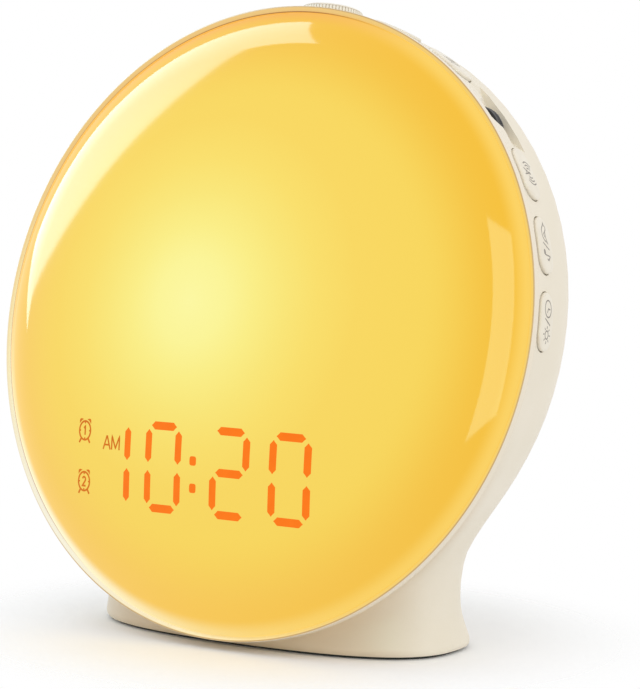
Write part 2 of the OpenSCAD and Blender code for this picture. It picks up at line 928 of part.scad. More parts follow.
module speaker_basket()
    color([0.25, 0.25, 0.27])
        at_speaker()
            translate([0, 0, -speaker_face])
                rotate_extrude()
                    polygon([
                        [speaker_r - speaker_flange_w, 0],
                        [speaker_r, 0],
                        [speaker_r, -speaker_flange_h],
                        [speaker_r - speaker_ring_w, -speaker_flange_h],
                        [magnet_r + speaker_flange_h, -speaker_deep],
                        [speaker_hole_r, -speaker_deep],
                        [speaker_hole_r, speaker_plate_h - speaker_deep],
                        [magnet_r, speaker_plate_h - speaker_deep],
                        [speaker_r - speaker_flange_w, -speaker_flange_h]
                    ]);

module speaker_magnet()
    color([0.35, 0.35, 0.37])
        at_speaker()
            translate([0, 0, -speaker_face - speaker_deep - magnet_h])
                cylinder(r = magnet_r, h = magnet_h);

module speaker_surround()
    color([0.08, 0.08, 0.08])
        at_speaker()
            translate([0, 0, -speaker_face - speaker_flange_h])
                rotate_extrude()
                    difference() {
                        translate([speaker_r - surround_w, 0])
                            circle(r = surround_r, $fn = 48);
                        translate([speaker_r - surround_w, 0])
                            circle(r = surround_r - surround_wall, $fn = 48);
                        translate([0, -surround_r - over])
                            square([speaker_r, surround_r + over]);
                    }

module speaker_cone() {
    cone_r = speaker_r - surround_w - surround_r + surround_wall - seat_fit;
    color([0.16, 0.16, 0.17])
        at_speaker()
            translate([0, 0, -speaker_face - speaker_flange_h])
                rotate_extrude()
                    polygon([
                        [cone_r, 0],
                        [cone_r, -cone_wall],
                        [cone_neck_r, -cone_wall - cone_deep + speaker_flange_h],
                        [0, cone_cap - cone_wall - cone_deep + speaker_flange_h],
                        [0, cone_cap - cone_deep + speaker_flange_h],
                        [cone_neck_r, speaker_flange_h - cone_deep]
                    ]);
}

module dc_jack()
    color([0.1, 0.1, 0.1])
        on_disc()
            translate([0, jack_v, 0])
                difference() {
                    union() {
                        between(board_t + board_h, case_depth - jack_collar)
                            square(jack_size, center = true);
                        between(case_depth - jack_collar - over, case_depth + jack_proud)
                            circle(r = jack_barrel_r);
                    }
                    difference() {
                        between(case_depth - jack_hole_deep, case_depth + jack_proud + over)
                            circle(r = jack_hole_r);
                        between(case_depth - jack_hole_deep - over, case_depth + jack_proud - jack_pin_back)
                            circle(r = jack_pin_r);
                    }
                }

module aerial_bush()
    color([0.1, 0.1, 0.1])
        on_disc()
            translate([bush_u, jack_v, 0])
                difference() {
                    union() {
                        between(case_depth - bush_deep, case_depth + bush_rise + over / 2)
                            circle(r = bush_r);
                        between(case_depth + bush_rise, case_depth + bush_rise + bush_flange_h)
                            circle(r = bush_r + bush_flange_w);
                    }
                    between(case_depth - bush_deep - over, case_depth + bush_rise + 2 * bush_flange_h)
                        circle(r = bush_hole_r, $fn = 32);
                }

// Flat shape with straight sides and round ends
module round_bar(half_l, end_r) {
    for (side = [-1, 1])
        translate([side * (half_l - end_r), 0])
            circle(r = end_r, $fn = 32);
    square([2 * (half_l - end_r), 2 * end_r], center = true);
}

// Height of the rear cover's dome over its rim at a distance from the middle
function dome_rise(r) = rear_ball_z + sqrt(pow(rear_ball_r, 2) - pow(r, 2));

// Half section of the rear cover: a domed disc with a hollow behind it
module cover_section()
    difference() {
        union() {
            translate([0, -rear_rim_h])
                square([rear_r, rear_rim_h + rear_lip]);
            intersection() {
                translate([0, rear_ball_z])
                    circle(r = rear_ball_r, $fn = fine);
                translate([0, rear_lip - root])
                    square([rear_r, rear_dome + over]);
            }
        }
        intersection() {
            translate([0, rear_ball_z])
                circle(r = rear_ball_r - rear_wall, $fn = fine);
            translate([0, -rear_rim_h - over])
                square([rear_r - rear_land - seat_fit, rear_dome + rear_rim_h + over]);
        }
    }

// Half the length of a slot, by its number up from the loudspeaker's middle
function slot_half_l(k) = sqrt(pow(speaker_r - speaker_flange_w, 2) - pow(k * slot_pitch, 2));

// Places of the rear cover's screws, in the cover's own axes
module cover_screw_places()
    for (q = cover_screw_angles)
        rotate([0, 0, 180 - q])
            translate([cover_screw_ring, 0, 0])
                children();

module rear_cover()
    color([0.9, 0.86, 0.78])
        difference() {
            union() {
                on_rear() {
                    rotate_extrude($fn = fine)
                        cover_section();
                    cover_screw_places()
                        translate([0, 0, -cover_seat])
                            cylinder(r = column_r, h = cover_post_h);
                }
                at_speaker()
                    translate([0, 0, -speaker_face])
                        difference() {
                            cylinder(r = speaker_r, h = speaker_face + over);
                            translate([0, 0, -over])
                                cylinder(r = speaker_r - speaker_ring_w, h = speaker_face + 3 * over);
                        }
            }
            at_speaker()
                for (k = [-slot_half_count:slot_half_count])
                    translate([0, k * slot_pitch, -over])
                        linear_extrude(rear_dome + 3 * over)
                            round_bar(slot_half_l(k), slot_w / 2);
            on_rear()
                cover_screw_places() {
                    translate([0, 0, -cover_seat - over])
                        cylinder(r = screw_r + screw_free, h = far);
                    translate([0, 0, -cover_head_deep])
                        cylinder(r = screw_head_r + screw_free, h = far);
                }
            on_disc()
                translate([0, jack_v, -case_depth - far])
                    cylinder(r = jack_barrel_r + jack_free, h = far + cover_seat);
            on_disc()
                translate([bush_u, jack_v, -case_depth - far])
                    cylinder(r = bush_r + run_fit, h = far + cover_seat);
        }

// Screw that stands along -z, its head's underside at the origin
module screw(length) {
    difference() {
        cylinder(r = screw_head_r, h = screw_head_h);
        translate([0, 0, screw_head_h - cross_deep])
            for (q = [0, 90])
                rotate([0, 0, q])
                    translate([-cross_l / 2, -cross_w / 2, 0])
                        cube([cross_l, cross_w, over]);
    }
    translate([0, 0, -length])
        cylinder(r = screw_r, h = length + root);
}

module cover_screws()
    color([0.7, 0.7, 0.72])
        on_rear()
            cover_screw_places()
                translate([0, 0, -cover_head_deep])
                    screw(cover_screw_l);

module board_screws()
    color([0.7, 0.7, 0.72])
        on_disc()
            mirror([0, 0, 1]) {
                board_post_places()
                    translate([0, 0, board_t + board_h])
                        screw(board_screw_l);
                side_post_places()
                    translate([0, 0, button_board_t + board_h])
                        screw(side_screw_l);
            }

module button_board()
    color([0.1, 0.35, 0.2])
        on_disc()
            between(button_board_t, button_board_t + board_h)
                difference() {
                    intersection() {
                        circle(r = button_board_out, $fn = fine);
                        polygon([[0, 0], [far, button_board_low * far], [far, 2 * far],
                            [button_board_high * far, 2 * far]]);
                    }
                    circle(r = button_board_in, $fn = fine);
                    side_post_places()
                        circle(r = screw_r + seat_fit);
                    rotate(wheel_angle)
                        translate([wheel_axis_r, 0])
                            circle(r = wheel_shaft_r + 2 * move_gap);
                }

// Side-acting switches, one behind each button's stem
module button_switches()
    color([0.15, 0.15, 0.16])
        for (i = button_places)
            on_disc()
                rotate([0, 0, place_angle(i)]) {
                    tip = switch_tip_r(i);
                    translate([tip - plunger_l - switch_deep, 0, 0])
                        between(switch_tip_t(i) - switch_half_h, button_board_t)
                            translate([0, -switch_w / 2])
                                square([switch_deep, switch_w]);
                    translate([tip - plunger_l - over, 0, -switch_tip_t(i)])
                        rotate([0, 90, 0])
                            cylinder(r = plunger_r, h = plunger_l + over);
                }

// Radius and depth at which a pressed stem ends
function stem_down(i) = stem_reach + button_travel + switch_gap;
function switch_tip_r(i) = place_r(i) - stem_down(i) * cos(atan(place_slope(i)))
    - stem_offset * sin(atan(place_slope(i)));
function switch_tip_t(i) = control_depth + stem_offset * cos(atan(place_slope(i)))
    - stem_down(i) * sin(atan(place_slope(i)));

// Puts the children on the volume wheel's axis
module at_wheel()
    on_disc()
        rotate([0, 0, wheel_angle])
            translate([wheel_axis_r, 0, 0])
                children();

module volume_control()
    color([0.3, 0.3, 0.32])
        at_wheel()
            difference() {
                between(button_board_t + board_h, button_board_t + board_h + control_body_h)
                    circle(r = control_body_r);
                between(button_board_t, button_board_t + board_h + control_body_h - control_floor)
                    circle(r = wheel_shaft_r + run_fit);
            }

module volume_wheel()
    color([0.05, 0.05, 0.05])
        at_wheel() {
            between(wheel_t, wheel_t + wheel_h)
                circle(r = wheel_r);
            between(wheel_t + wheel_h - over,
                button_board_t + board_h + control_body_h - control_floor - move_gap)
                circle(r = wheel_shaft_r);
        }

// Puts the children on the dial's axis, z straight up out of the case
module at_dial()
    on_disc()
        translate([0, 0, -dial_depth])
            rotate([-90, 0, 0])
                children();

module dial_knob()
    color([0.93, 0.9, 0.84])
        at_dial()
            difference() {
                intersection() {
                    translate([0, 0, dial_base_v])
                        linear_extrude(dial_top_v - dial_base_v) {
                            circle(r = dial_r - rib_r);
                            for (i = [0:dial_ribs - 1])
                                rotate(360 * i / dial_ribs)
                                    translate([dial_r - rib_r, 0])
                                        circle(r = rib_r, $fn = 24);
                        }
                    rotate_extrude() {
                        translate([0, dial_base_v])
                            square([dial_r, dial_top_v - dial_base_v - dial_round]);
                        translate([0, dial_base_v])
                            square([dial_r - dial_round, dial_top_v - dial_base_v]);
                        translate([dial_r - dial_round, dial_top_v - dial_round])
                            circle(r = dial_round, $fn = 48);
                    }
                }
                difference() {
                    translate([0, 0, dial_base_v - over])
                        cylinder(r = dial_r - rib_r - dial_wall, h = dial_top_v - dial_wall - dial_base_v + over);
                    translate([0, 0, bushing_top_v + move_gap])
                        cylinder(r = hub_r, h = far);
                }
                translate([0, 0, dial_base_v - over])
                    cylinder(r = dial_shaft_r, h = dial_top_v - dial_base_v - dial_crown + over);
            }

module dial_shaft()
    color([0.7, 0.7, 0.72])
        at_dial()
            translate([0, 0, encoder_top_v - shaft_deep])
                cylinder(r = dial_shaft_r, h = dial_top_v - dial_crown - encoder_top_v + shaft_deep);

module dial_encoder()
    color([0.3, 0.35, 0.32])
        at_dial()
            difference() {
                union() {
                    translate([-encoder_w / 2, -encoder_w / 2, encoder_top_v - encoder_h])
                        cube([encoder_w, encoder_w, encoder_h]);
                    translate([0, 0, encoder_top_v - over])
                        cylinder(r = bushing_r, h = bushing_top_v - encoder_top_v + over);
                }
                translate([0, 0, encoder_top_v - shaft_deep - move_gap])
                    cylinder(r = dial_shaft_r + run_fit, h = far);
            }

module dial_nut()
    color([0.72, 0.72, 0.74])
        at_dial()
            translate([0, 0, case_r - dial_sink])
                difference() {
                    cylinder(r = nut_r, h = nut_h, $fn = 6);
                    translate([0, 0, -over])
                        cylinder(r = bushing_r, h = nut_h + 2 * over);
                }

module button_time_set() color([0.92, 0.9, 0.84]) side_button(0);
module button_sound() color([0.92, 0.9, 0.84]) side_button(1);
module button_radio() color([0.92, 0.9, 0.84]) side_button(2);
module button_alarm_two() color([0.92, 0.9, 0.84]) side_button(4);
module button_alarm_one() color([0.92, 0.9, 0.84]) side_button(5);

module base_plate()
    color([0.8, 0.76, 0.68])
        difference() {
            translate([0, 0, pad_h])
                linear_extrude(base_plate_h)
                    foot_outline(pad_inset + seat_fit);
            foot_screw_places() {
                cylinder(r = screw_r + foot_screw_free, h = far);
                cylinder(r = screw_head_r + foot_screw_free, h = pad_h + screw_head_h);
            }
        }

module base_screws()
    color([0.7, 0.7, 0.72])
        foot_screw_places()
            translate([0, 0, pad_h + screw_head_h])
                mirror([0, 0, 1])
                    screw(base_screw_l);

module base_pad()
    color([0.07, 0.07, 0.07])
        linear_extrude(pad_h)
            foot_outline(pad_inset + seat_fit);

front_diffuser();
bezel_ring();
main_housing();
reflector_bowl();
lamp_board();
lamp_chips();
display_housing();
lit_segments();
dark_segments();
display_board();
main_board();
processor_chip();
radio_module();
storage_capacitor();
speaker_basket();
speaker_magnet();
speaker_surround();
speaker_cone();
dc_jack();
aerial_bush();
rear_cover();
cover_screws();
board_screws();
button_board();
button_switches();
volume_control();
volume_wheel();
dial_knob();
dial_shaft();
dial_encoder();
dial_nut();
button_time_set();
button_sound();
button_radio();
button_alarm_two();
button_alarm_one();
base_plate();
base_screws();
base_pad();
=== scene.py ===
import math

import bmesh
import bpy
import numpy as np
from mathutils import Matrix, Quaternion, Vector


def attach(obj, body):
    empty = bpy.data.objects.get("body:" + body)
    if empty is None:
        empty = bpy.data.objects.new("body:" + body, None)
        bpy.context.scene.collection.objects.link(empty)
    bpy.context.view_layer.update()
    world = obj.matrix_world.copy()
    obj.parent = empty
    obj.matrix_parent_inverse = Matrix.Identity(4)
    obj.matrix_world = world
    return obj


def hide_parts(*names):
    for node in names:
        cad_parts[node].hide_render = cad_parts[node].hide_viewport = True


# Sunrise alarm clock. The clock stands on the floor at z = 0 and faces -Y. Sizes are millimetres until a
# point is handed to Blender, which takes metres.
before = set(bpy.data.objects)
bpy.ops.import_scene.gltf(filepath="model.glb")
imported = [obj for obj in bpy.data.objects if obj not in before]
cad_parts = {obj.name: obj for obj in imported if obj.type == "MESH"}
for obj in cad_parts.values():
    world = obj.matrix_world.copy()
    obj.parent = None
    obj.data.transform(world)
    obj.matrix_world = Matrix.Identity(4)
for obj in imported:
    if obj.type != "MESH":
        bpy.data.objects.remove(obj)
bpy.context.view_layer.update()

MM = 0.001
BLACK = (0, 0, 0, 1)
LEAN = 12.8
COS_LEAN, SIN_LEAN = math.cos(math.radians(LEAN)), math.sin(math.radians(LEAN))
DISC_Y, DISC_Z = -16.717, 92.226

# Six places up the right flank, in degrees round the disc. The thumbwheel has the fourth of them.
FLANK_START, FLANK_STEP, WHEEL_PLACE = 3.2, 13.43, 3
WHEEL_AXIS_R, DIAL_DEPTH = 81.251, 19.5


# ---------------------------------------------------------------------------------------------- axes


def turn(degrees, axis):
    return Matrix.Rotation(math.radians(degrees), 4, axis)


def shift(x, y, z):
    return Matrix.Translation((x, y, z))


# Disc: x right, y up the dome, z out of the front. The other two are named for what turns in them.
DISC = shift(0, DISC_Y, DISC_Z) @ turn(90 - LEAN, "X")
DIAL = DISC @ shift(0, 0, -DIAL_DEPTH) @ turn(-90, "X")
WHEEL = DISC @ turn(FLANK_START + FLANK_STEP * WHEEL_PLACE, "Z") @ shift(WHEEL_AXIS_R, 0, 0)


def to_clock(axes, points):
    """Points in millimetres of some axes, as points of the clock in metres."""
    matrix = np.array(axes)
    return (np.asarray(points, float).reshape(-1, 3) @ matrix[:3, :3].T + matrix[:3, 3]) * MM


def up_disc(y, z):
    """How far up the disc a place of the clock is, for numbers, arrays or shader values."""
    return (y - DISC_Y) * SIN_LEAN + (z - DISC_Z) * COS_LEAN


def behind_disc(y, z):
    """How far behind the disc's plane a place of the clock is."""
    return (y - DISC_Y) * COS_LEAN - (z - DISC_Z) * SIN_LEAN


def length(a, b):
    """Length of two sides at right angles."""
    return (a ** 2 + b ** 2) ** 0.5


# --------------------------------------------------------------------------------------- shader maths


def screen(red, green, blue):
    """Linear colour of one written in 0 to 255."""
    return tuple(c / 12.92 if c < 0.04 else ((c + 0.055) / 1.055) ** 2.4
                 for c in (red / 255, green / 255, blue / 255)) + (1.0,)


class Value:
    """A shader socket that takes part in Python expressions."""

    def __init__(self, finish, socket):
        self.finish, self.socket = finish, socket

    def math(self, operation, *sides):
        return self.finish.node("Math", dict(enumerate(sides)), operation=operation)

    def __add__(self, other):
        return self.math("ADD", self, other)

    def __sub__(self, other):
        return self.math("SUBTRACT", self, other)

    def __rsub__(self, other):
        return self.math("SUBTRACT", other, self)

    def __mul__(self, other):
        return self.math("MULTIPLY", self, other)

    def __truediv__(self, other):
        return self.math("DIVIDE", self, other)

    def __pow__(self, other):
        return self.math("POWER", self, other)

    __radd__ = __add__
    __rmul__ = __mul__

    def ramp(self, low, high):
        """0 below low and 1 above high, with a soft way between them."""
        return self.finish.node("MapRange", {0: self, 1: low, 2: high}, interpolation_type="SMOOTHSTEP")


class Finish:
    """One procedural material: a Principled shader and the nodes that feed it."""

    def __init__(self, name, **constants):
        self.material = bpy.data.materials.new(name)
        self.material.use_nodes = True
        self.tree = self.material.node_tree
        self.shader = self.tree.nodes["Principled BSDF"]
        self.shade({key.replace("_", " "): value for key, value in constants.items()})
        self.place = self.node("TexCoord", output="Object")

    def plug(self, node, sockets):
        """Link each socket's value, or set it."""
        for key, value in sockets.items():
            if isinstance(value, Value):
                self.tree.links.new(value.socket, node.inputs[key])
            else:
                node.inputs[key].default_value = value

    def shade(self, sockets):
        self.plug(self.shader, sockets)

    def node(self, kind, sockets=(), output=0, stops=(), **settings):
        """Output of a new node: its settings come first, then a ramp's stops, then its sockets."""
        made = self.tree.nodes.new("ShaderNode" + kind)
        for key, value in settings.items():
            setattr(made, key, value)
        for i, (position, color) in enumerate(stops):
            knots = made.color_ramp.elements
            knot = knots[i] if i < 2 else knots.new(position)
            knot.position, knot.color = position, color
        self.plug(made, dict(sockets))
        return Value(self, made.outputs[output])

    def blend(self, share, first, second):
        """Colour between two, by a share."""
        return self.node("Mix", {0: share, 6: first, 7: second}, 2, data_type="RGBA")

    def noise(self, scale, detail=2.0, rough=0.5, place=None):
        """Cloudy value near a half; scale is its features in a metre."""
        sockets = {"Vector": place or self.place, "Scale": scale, "Detail": detail, "Roughness": rough}
        return self.node("TexNoise", sockets)

    def stretched(self, x, y, z):
        """The place with each axis scaled, for streaks."""
        return self.node("Mapping", {"Vector": self.place, "Scale": (x, y, z)})

    def bump(self, height, depth):
        """Normal of a relief of that depth in metres."""
        return self.node("Bump", {"Height": height, "Distance": depth, "Strength": 1.0})

    def position(self):
        """Place on the clock in millimetres: x, y and z."""
        parts = self.node("SeparateXYZ", {0: self.place}).socket.node.outputs
        return [Value(self, part) * 1000 for part in parts]

    def disc(self):
        """Place on the disc in millimetres: right, up and the distance from its axis."""
        right, y, z = self.position()
        up = up_disc(y, z)
        return right, up, length(right, up)


def grained(made, color, other, rough, grain, depth):
    """Moulded surface: a colour that drifts a little, a fine spark-eroded grain and an uneven sheen."""
    drift, fine = made.noise(60, 3), made.noise(grain, 3, 0.6)
    made.shade({
        "Roughness": rough - 0.04 + fine * 0.05 + drift * 0.03,
        "Normal": made.bump(fine, depth),
    })
    return made.blend((drift * 0.7 + fine * 0.3).ramp(0.35, 0.65), color, other)


def moulded(name, color, other, rough, grain=2500, depth=8e-6):
    """Plain moulded plastic."""
    made = Finish(name)
    made.shade({"Base Color": grained(made, color, other, rough, grain, depth)})
    return made


def case_finish():
    """Satin cream case, a shade warmer on the front of the foot that the dome stands over, where the dome's
    glow and shade are painted in.
    """
    made = Finish("case_satin", IOR=1.46)
    _, y, z = made.position()
    # Painted warm glow and shade: the front of the foot under the dome turns tan.
    dome_glow_and_shade = (1 - z.ramp(35, 75)) * (1 - y.ramp(-28, -12))
    cream = grained(made, screen(234, 225, 207), screen(231, 222, 203), 0.46, 2500, 8e-6)
    made.shade({"Base Color": made.blend(dome_glow_and_shade, cream, screen(214, 195, 166))})
    return made


# Place of the dome's painted glow, right and up of its axis in millimetres
HOT_SPOT = (-11.0, 2.5)


def rim_light_side(right, up, out):
    """1 in the direction down and left of the disc's axis, where a rim light is painted, and nothing on its
    upper right.
    """
    return (0.5 - (right + up) / out * 0.35) ** 8


def dome_finish():
    """Glossy dome with the light from behind it painted in as emission: pale at the hot spot, golden round
    it, pale again at the rolled edge.
    """
    made = Finish("dome_glow", IOR=1.33, Emission_Strength=1.0)
    right, up, out = made.disc()
    from_spot = length(right - HOT_SPOT[0], up - HOT_SPOT[1])
    wander = made.noise(28, 2)
    middle = made.node("ValToRGB", {0: from_spot / 100 + (wander - 0.5) * 0.03}, stops=[
        (0.00, screen(251, 246, 158)), (0.12, screen(250, 243, 148)), (0.22, screen(249, 236, 130)),
        (0.32, screen(248, 228, 115)), (0.42, screen(248, 221, 102)), (0.54, screen(247, 214, 92)),
        (0.80, screen(246, 212, 86))])
    # The shoulder's painted glow is paler on the left and a deeper gold on the right.
    leftward = 0.5 - (right * 0.45 + up * 0.15) / out
    golden = made.blend(leftward, screen(243, 190, 48), screen(247, 203, 96))
    shoulder = made.blend(out.ramp(62, 86), middle, golden)
    # Painted shade: the rolled edge turns a darker orange on its upper left.
    shaded_roll = made.blend(((up - right) / out).ramp(0.2, 1.1), screen(250, 209, 96), screen(243, 176, 70))
    # Painted rim light: the rolled edge turns pale cream on its lower left.
    rolled = made.blend(rim_light_side(right, up, out), shaded_roll, screen(254, 247, 212))
    edge = made.blend(out.ramp(85.5, 89.8), shoulder, rolled)
    # Dark line at the joint with the lip, drawn only on its upper and left side: partly the joint, partly
    # painted shade.
    seam_shade = out.ramp(89.55, 89.75) * ((up * 0.5 - right) / out).ramp(0.05, 0.5)
    glow = made.blend(seam_shade, edge, screen(150, 88, 52))
    speck = made.noise(900, 2)
    made.shade({
        "Base Color": made.blend(0.26, BLACK, glow),
        "Emission Color": made.blend(0.745, BLACK, glow),
        "Roughness": 0.055 + speck * 0.02,
        "Normal": made.bump(speck, 4e-7),
    })
    return made


def lip_finish():
    """Lip with the dome's glow painted onto its top as emission, a line round its edge that painted shade
    turns tan on the right, and a plain cream side with a faint painted glow.
    """
    made = Finish("lip_cream", IOR=1.4, Emission_Strength=1.0)
    right, up, out = made.disc()
    # Painted glow from the dome on the lip's top, less yellow to the upper left, with a painted rim light
    # on its lower left.
    upper = made.blend((up * 0.8 - right * 0.5).ramp(10, 80), screen(249, 213, 116), screen(246, 208, 132))
    top = made.blend(rim_light_side(right, up, out), upper, screen(254, 250, 230))
    # Painted shade: the line round the lip's edge is cream on the left and tan on the right, where it lies
    # in shade.
    shaded_right = ((right - up * 0.3) / out).ramp(-0.75, -0.15)
    line = made.blend(shaded_right, screen(243, 232, 206), screen(206, 170, 112))
    side = out.ramp(91.38, 91.47)
    glow = made.blend(out.ramp(90.95, 91.2), top, line)
    speck = made.noise(1500, 2)
    # The side keeps a faint painted glow in its emission.
    made.shade({
        "Base Color": made.blend(side, made.blend(0.34, BLACK, glow), screen(231, 221, 202)),
        "Emission Color": made.blend(side, made.blend(0.60, BLACK, glow), screen(38, 26, 12)),
        "Roughness": 0.24 + speck * 0.05,
        "Normal": made.bump(speck, 1e-6),
    })
    return made


def button_finish():
    """Satin buttons whose tops are polished a little by fingers."""
    made = Finish("button_satin", IOR=1.46)
    fine = made.noise(2600, 3, 0.6)
    worn = made.noise(180, 2)
    made.shade({
        "Base Color": made.blend(worn.ramp(0.35, 0.7), screen(233, 225, 208), screen(228, 219, 201)),
        "Roughness": 0.33 + fine * 0.06 - worn * 0.06,
        "Normal": made.bump(fine, 4e-6),
    })
    return made


def dial_finish():
    """Satin dial whose grooves hold a little shade and dust between the ribs."""
    made = Finish("dial_satin", IOR=1.46)
    x, y, z = made.position()
    from_axis = length(x, behind_disc(y, z) - DIAL_DEPTH)
    groove = (1 - from_axis.ramp(8.8, 9.2)) * (1 - up_disc(y, z).ramp(94.7, 95.0))
    fine = made.noise(2600, 3, 0.6)
    cream = made.blend(fine, screen(240, 233, 218), screen(234, 226, 210))
    made.shade({
        "Base Color": made.blend(groove, cream, screen(186, 172, 148)),
        "Roughness": 0.36 + fine * 0.06 + groove * 0.2,
        "Normal": made.bump(fine, 4e-6),
    })
    return made


def wheel_finish():
    """Glossy black wheel with fine scuffs from thumbs."""
    made = Finish("wheel_black", IOR=1.4)
    scuff = made.noise(1, 4, 0.65, made.stretched(900, 900, 6000))
    made.shade({
        "Base Color": made.blend(scuff.ramp(0.4, 0.8), (0.008, 0.007, 0.007, 1), (0.022, 0.02, 0.02, 1)),
        "Roughness": 0.26 + scuff * 0.14,
        "Normal": made.bump(scuff, 2e-6),
    })
    return made


def glow_finish(name, lit, edge, power):
    """Light that shows through the dome: a drifting warm colour that keeps the dome's gloss."""
    made = Finish(name, IOR=1.25, Emission_Strength=power)
    drift = made.noise(260, 2)
    glow = made.blend(drift.ramp(0.3, 0.7), lit, edge)
    made.shade({
        "Base Color": made.blend(0.15, BLACK, glow),
        "Emission Color": glow,
        "Roughness": 0.07 + drift * 0.02,
    })
    return made


def metal(name, color, other, rough, along):
    """Worked metal: streaks along one direction over a drifting tone."""
    made = Finish(name, Metallic=1.0)
    streak = made.noise(1, 4, 0.6, made.stretched(*along))
    drift = made.noise(400, 2)
    made.shade({
        "Base Color": made.blend((streak * 0.6 + drift * 0.4).ramp(0.35, 0.65), color, other),
        "Roughness": rough + streak * 0.12,
        "Normal": made.bump(streak, 4e-6),
    })
    return made


def circuit_finish(name, mask, trace, pad):
    """Circuit board: solder mask over copper traces, with tinned pads among them."""
    made = Finish(name, IOR=1.5)
    sizes = {"Scale": 420.0, "Mortar Size": 0.05, "Row Height": 0.5, "Brick Width": 1.7}
    lanes = made.node("TexBrick", {"Vector": made.place, **sizes}, "Fac", offset=0.37)
    cells = made.node("TexVoronoi", {"Vector": made.place, "Scale": 330.0}, "Distance")
    spots = 1 - cells.ramp(0.10, 0.14)
    made.shade({
        "Base Color": made.blend(spots, made.blend(lanes, mask, trace), pad),
        "Roughness": 0.32 - spots * 0.1 + lanes * 0.05,
        "Metallic": spots,
        "Normal": made.bump(lanes + spots, 2e-5),
    })
    return made


def cone_finish():
    """Felted paper of the loudspeaker's cone."""
    made = Finish("cone_paper")
    fibre = made.noise(1, 5, 0.7, made.stretched(2600, 900, 2600))
    made.shade({
        "Base Color": made.blend(fibre.ramp(0.3, 0.75), screen(38, 38, 40), screen(74, 72, 70)),
        "Roughness": 0.82 + fibre * 0.1,
        "Normal": made.bump(fibre, 6e-5),
    })
    return made


def lamp_finish():
    """Grainy phosphor of the lamps."""
    made = Finish("lamp_phosphor", Emission_Strength=0.6)
    grainy = made.noise(3000, 3)
    made.shade({
        "Base Color": made.blend(grainy, screen(240, 206, 96), screen(250, 226, 140)),
        "Emission Color": made.blend(grainy, screen(255, 210, 120), screen(255, 224, 150)),
        "Roughness": 0.5 + grainy * 0.2,
        "Normal": made.bump(grainy, 1e-5),
    })
    return made


def rubber_finish():
    """Matt rubber with a fine pebble and a dusty bloom."""
    made = Finish("black_rubber", IOR=1.5)
    pebble = made.node("TexVoronoi", {"Vector": made.place, "Scale": 1400.0}, "Distance")
    bloom = made.noise(90, 4)
    made.shade({
        "Base Color": made.blend(bloom.ramp(0.4, 0.75), (0.02, 0.02, 0.02, 1), (0.05, 0.048, 0.045, 1)),
        "Roughness": 0.72 + bloom * 0.12,
        "Normal": made.bump(pebble, 4e-5),
    })
    return made


# ------------------------------------------------------------------------------------- building shapes


def loft(rings, closed=False, ends=True):
    """Shell over rings of equally many points. Closed joins the last to the first, and ends caps both."""
    count = len(rings[0])
    points = np.concatenate(rings)
    faces = []
    for j in range(len(rings) if closed else len(rings) - 1):
        a, b = j * count, (j + 1) % len(rings) * count
        faces += [(a + k, a + (k + 1) % count, b + (k + 1) % count, b + k) for k in range(count)]
    if ends and not closed:
        faces += [tuple(range(count)), tuple(range(len(points) - count, len(points)))]
    return points, faces


def circle(axes, radius, height, steps):
    """Ring of points about z. The radius is one number, or one for each point."""
    angles = np.arange(steps) * 2 * math.pi / steps
    return to_clock(axes, np.column_stack([radius * np.cos(angles), radius * np.sin(angles),
                                           np.full(steps, height)]))


def turned(axes, profile, steps, closed=False):
    """Shell turned about z from radii and heights. An open profile starts and ends on the axis."""
    return loft([circle(axes, radius, height, steps) for radius, height in profile], closed, False)


def rounded(corners, steps=5):
    """Closed outline through corners (x, y) or (x, y, radius), each rounded by its radius."""
    found = []
    for i, (x, y, *radius) in enumerate(corners):
        corner = Vector((x, y))
        if not radius:
            found.append((x, y))
            continue
        back = (Vector(corners[i - 1][:2]) - corner).normalized()
        on = (Vector(corners[(i + 1) % len(corners)][:2]) - corner).normalized()
        half = back.angle(on) / 2
        reach = radius[0] / math.tan(half)
        middle = corner + (back + on).normalized() * radius[0] / math.sin(half)
        first, last = corner + back * reach - middle, corner + on * reach - middle
        bend = math.pi - 2 * half
        for k in range(steps + 1):
            part = bend * k / steps
            spoke = (first * math.sin(bend - part) + last * math.sin(part)) / math.sin(bend)
            found.append(tuple(middle + spoke))
    return found


def piece(name, shells, finish, body, stands_for=(), sharp=32):
    """Object of closed shells that rides a body and may stand for CAD nodes."""
    built = bmesh.new()
    for points, faces in shells:
        corners = [built.verts.new(p) for p in points]
        for face in faces:
            built.faces.new([corners[k] for k in face])
    bmesh.ops.remove_doubles(built, verts=built.verts, dist=2e-7)
    bmesh.ops.dissolve_degenerate(built, edges=built.edges, dist=1e-8)
    bmesh.ops.recalc_face_normals(built, faces=built.faces)
    mesh = bpy.data.meshes.new(name)
    built.to_mesh(mesh)
    built.free()
    mesh.shade_smooth()
    mesh.set_sharp_from_angle(angle=math.radians(sharp))
    placed(name, mesh, finish, body, stands_for)


def placed(name, mesh, finish, body, stands_for=()):
    """A mesh as an object of the scene, on its body and in its material slot."""
    mesh.materials.clear()
    mesh.materials.append(finish.material)
    made = bpy.data.objects.new(name, mesh)
    bpy.context.scene.collection.objects.link(made)
    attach(made, body)
    if stands_for:
        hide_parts(*stands_for)


# ------------------------------------------------------------------------------------------- lit front

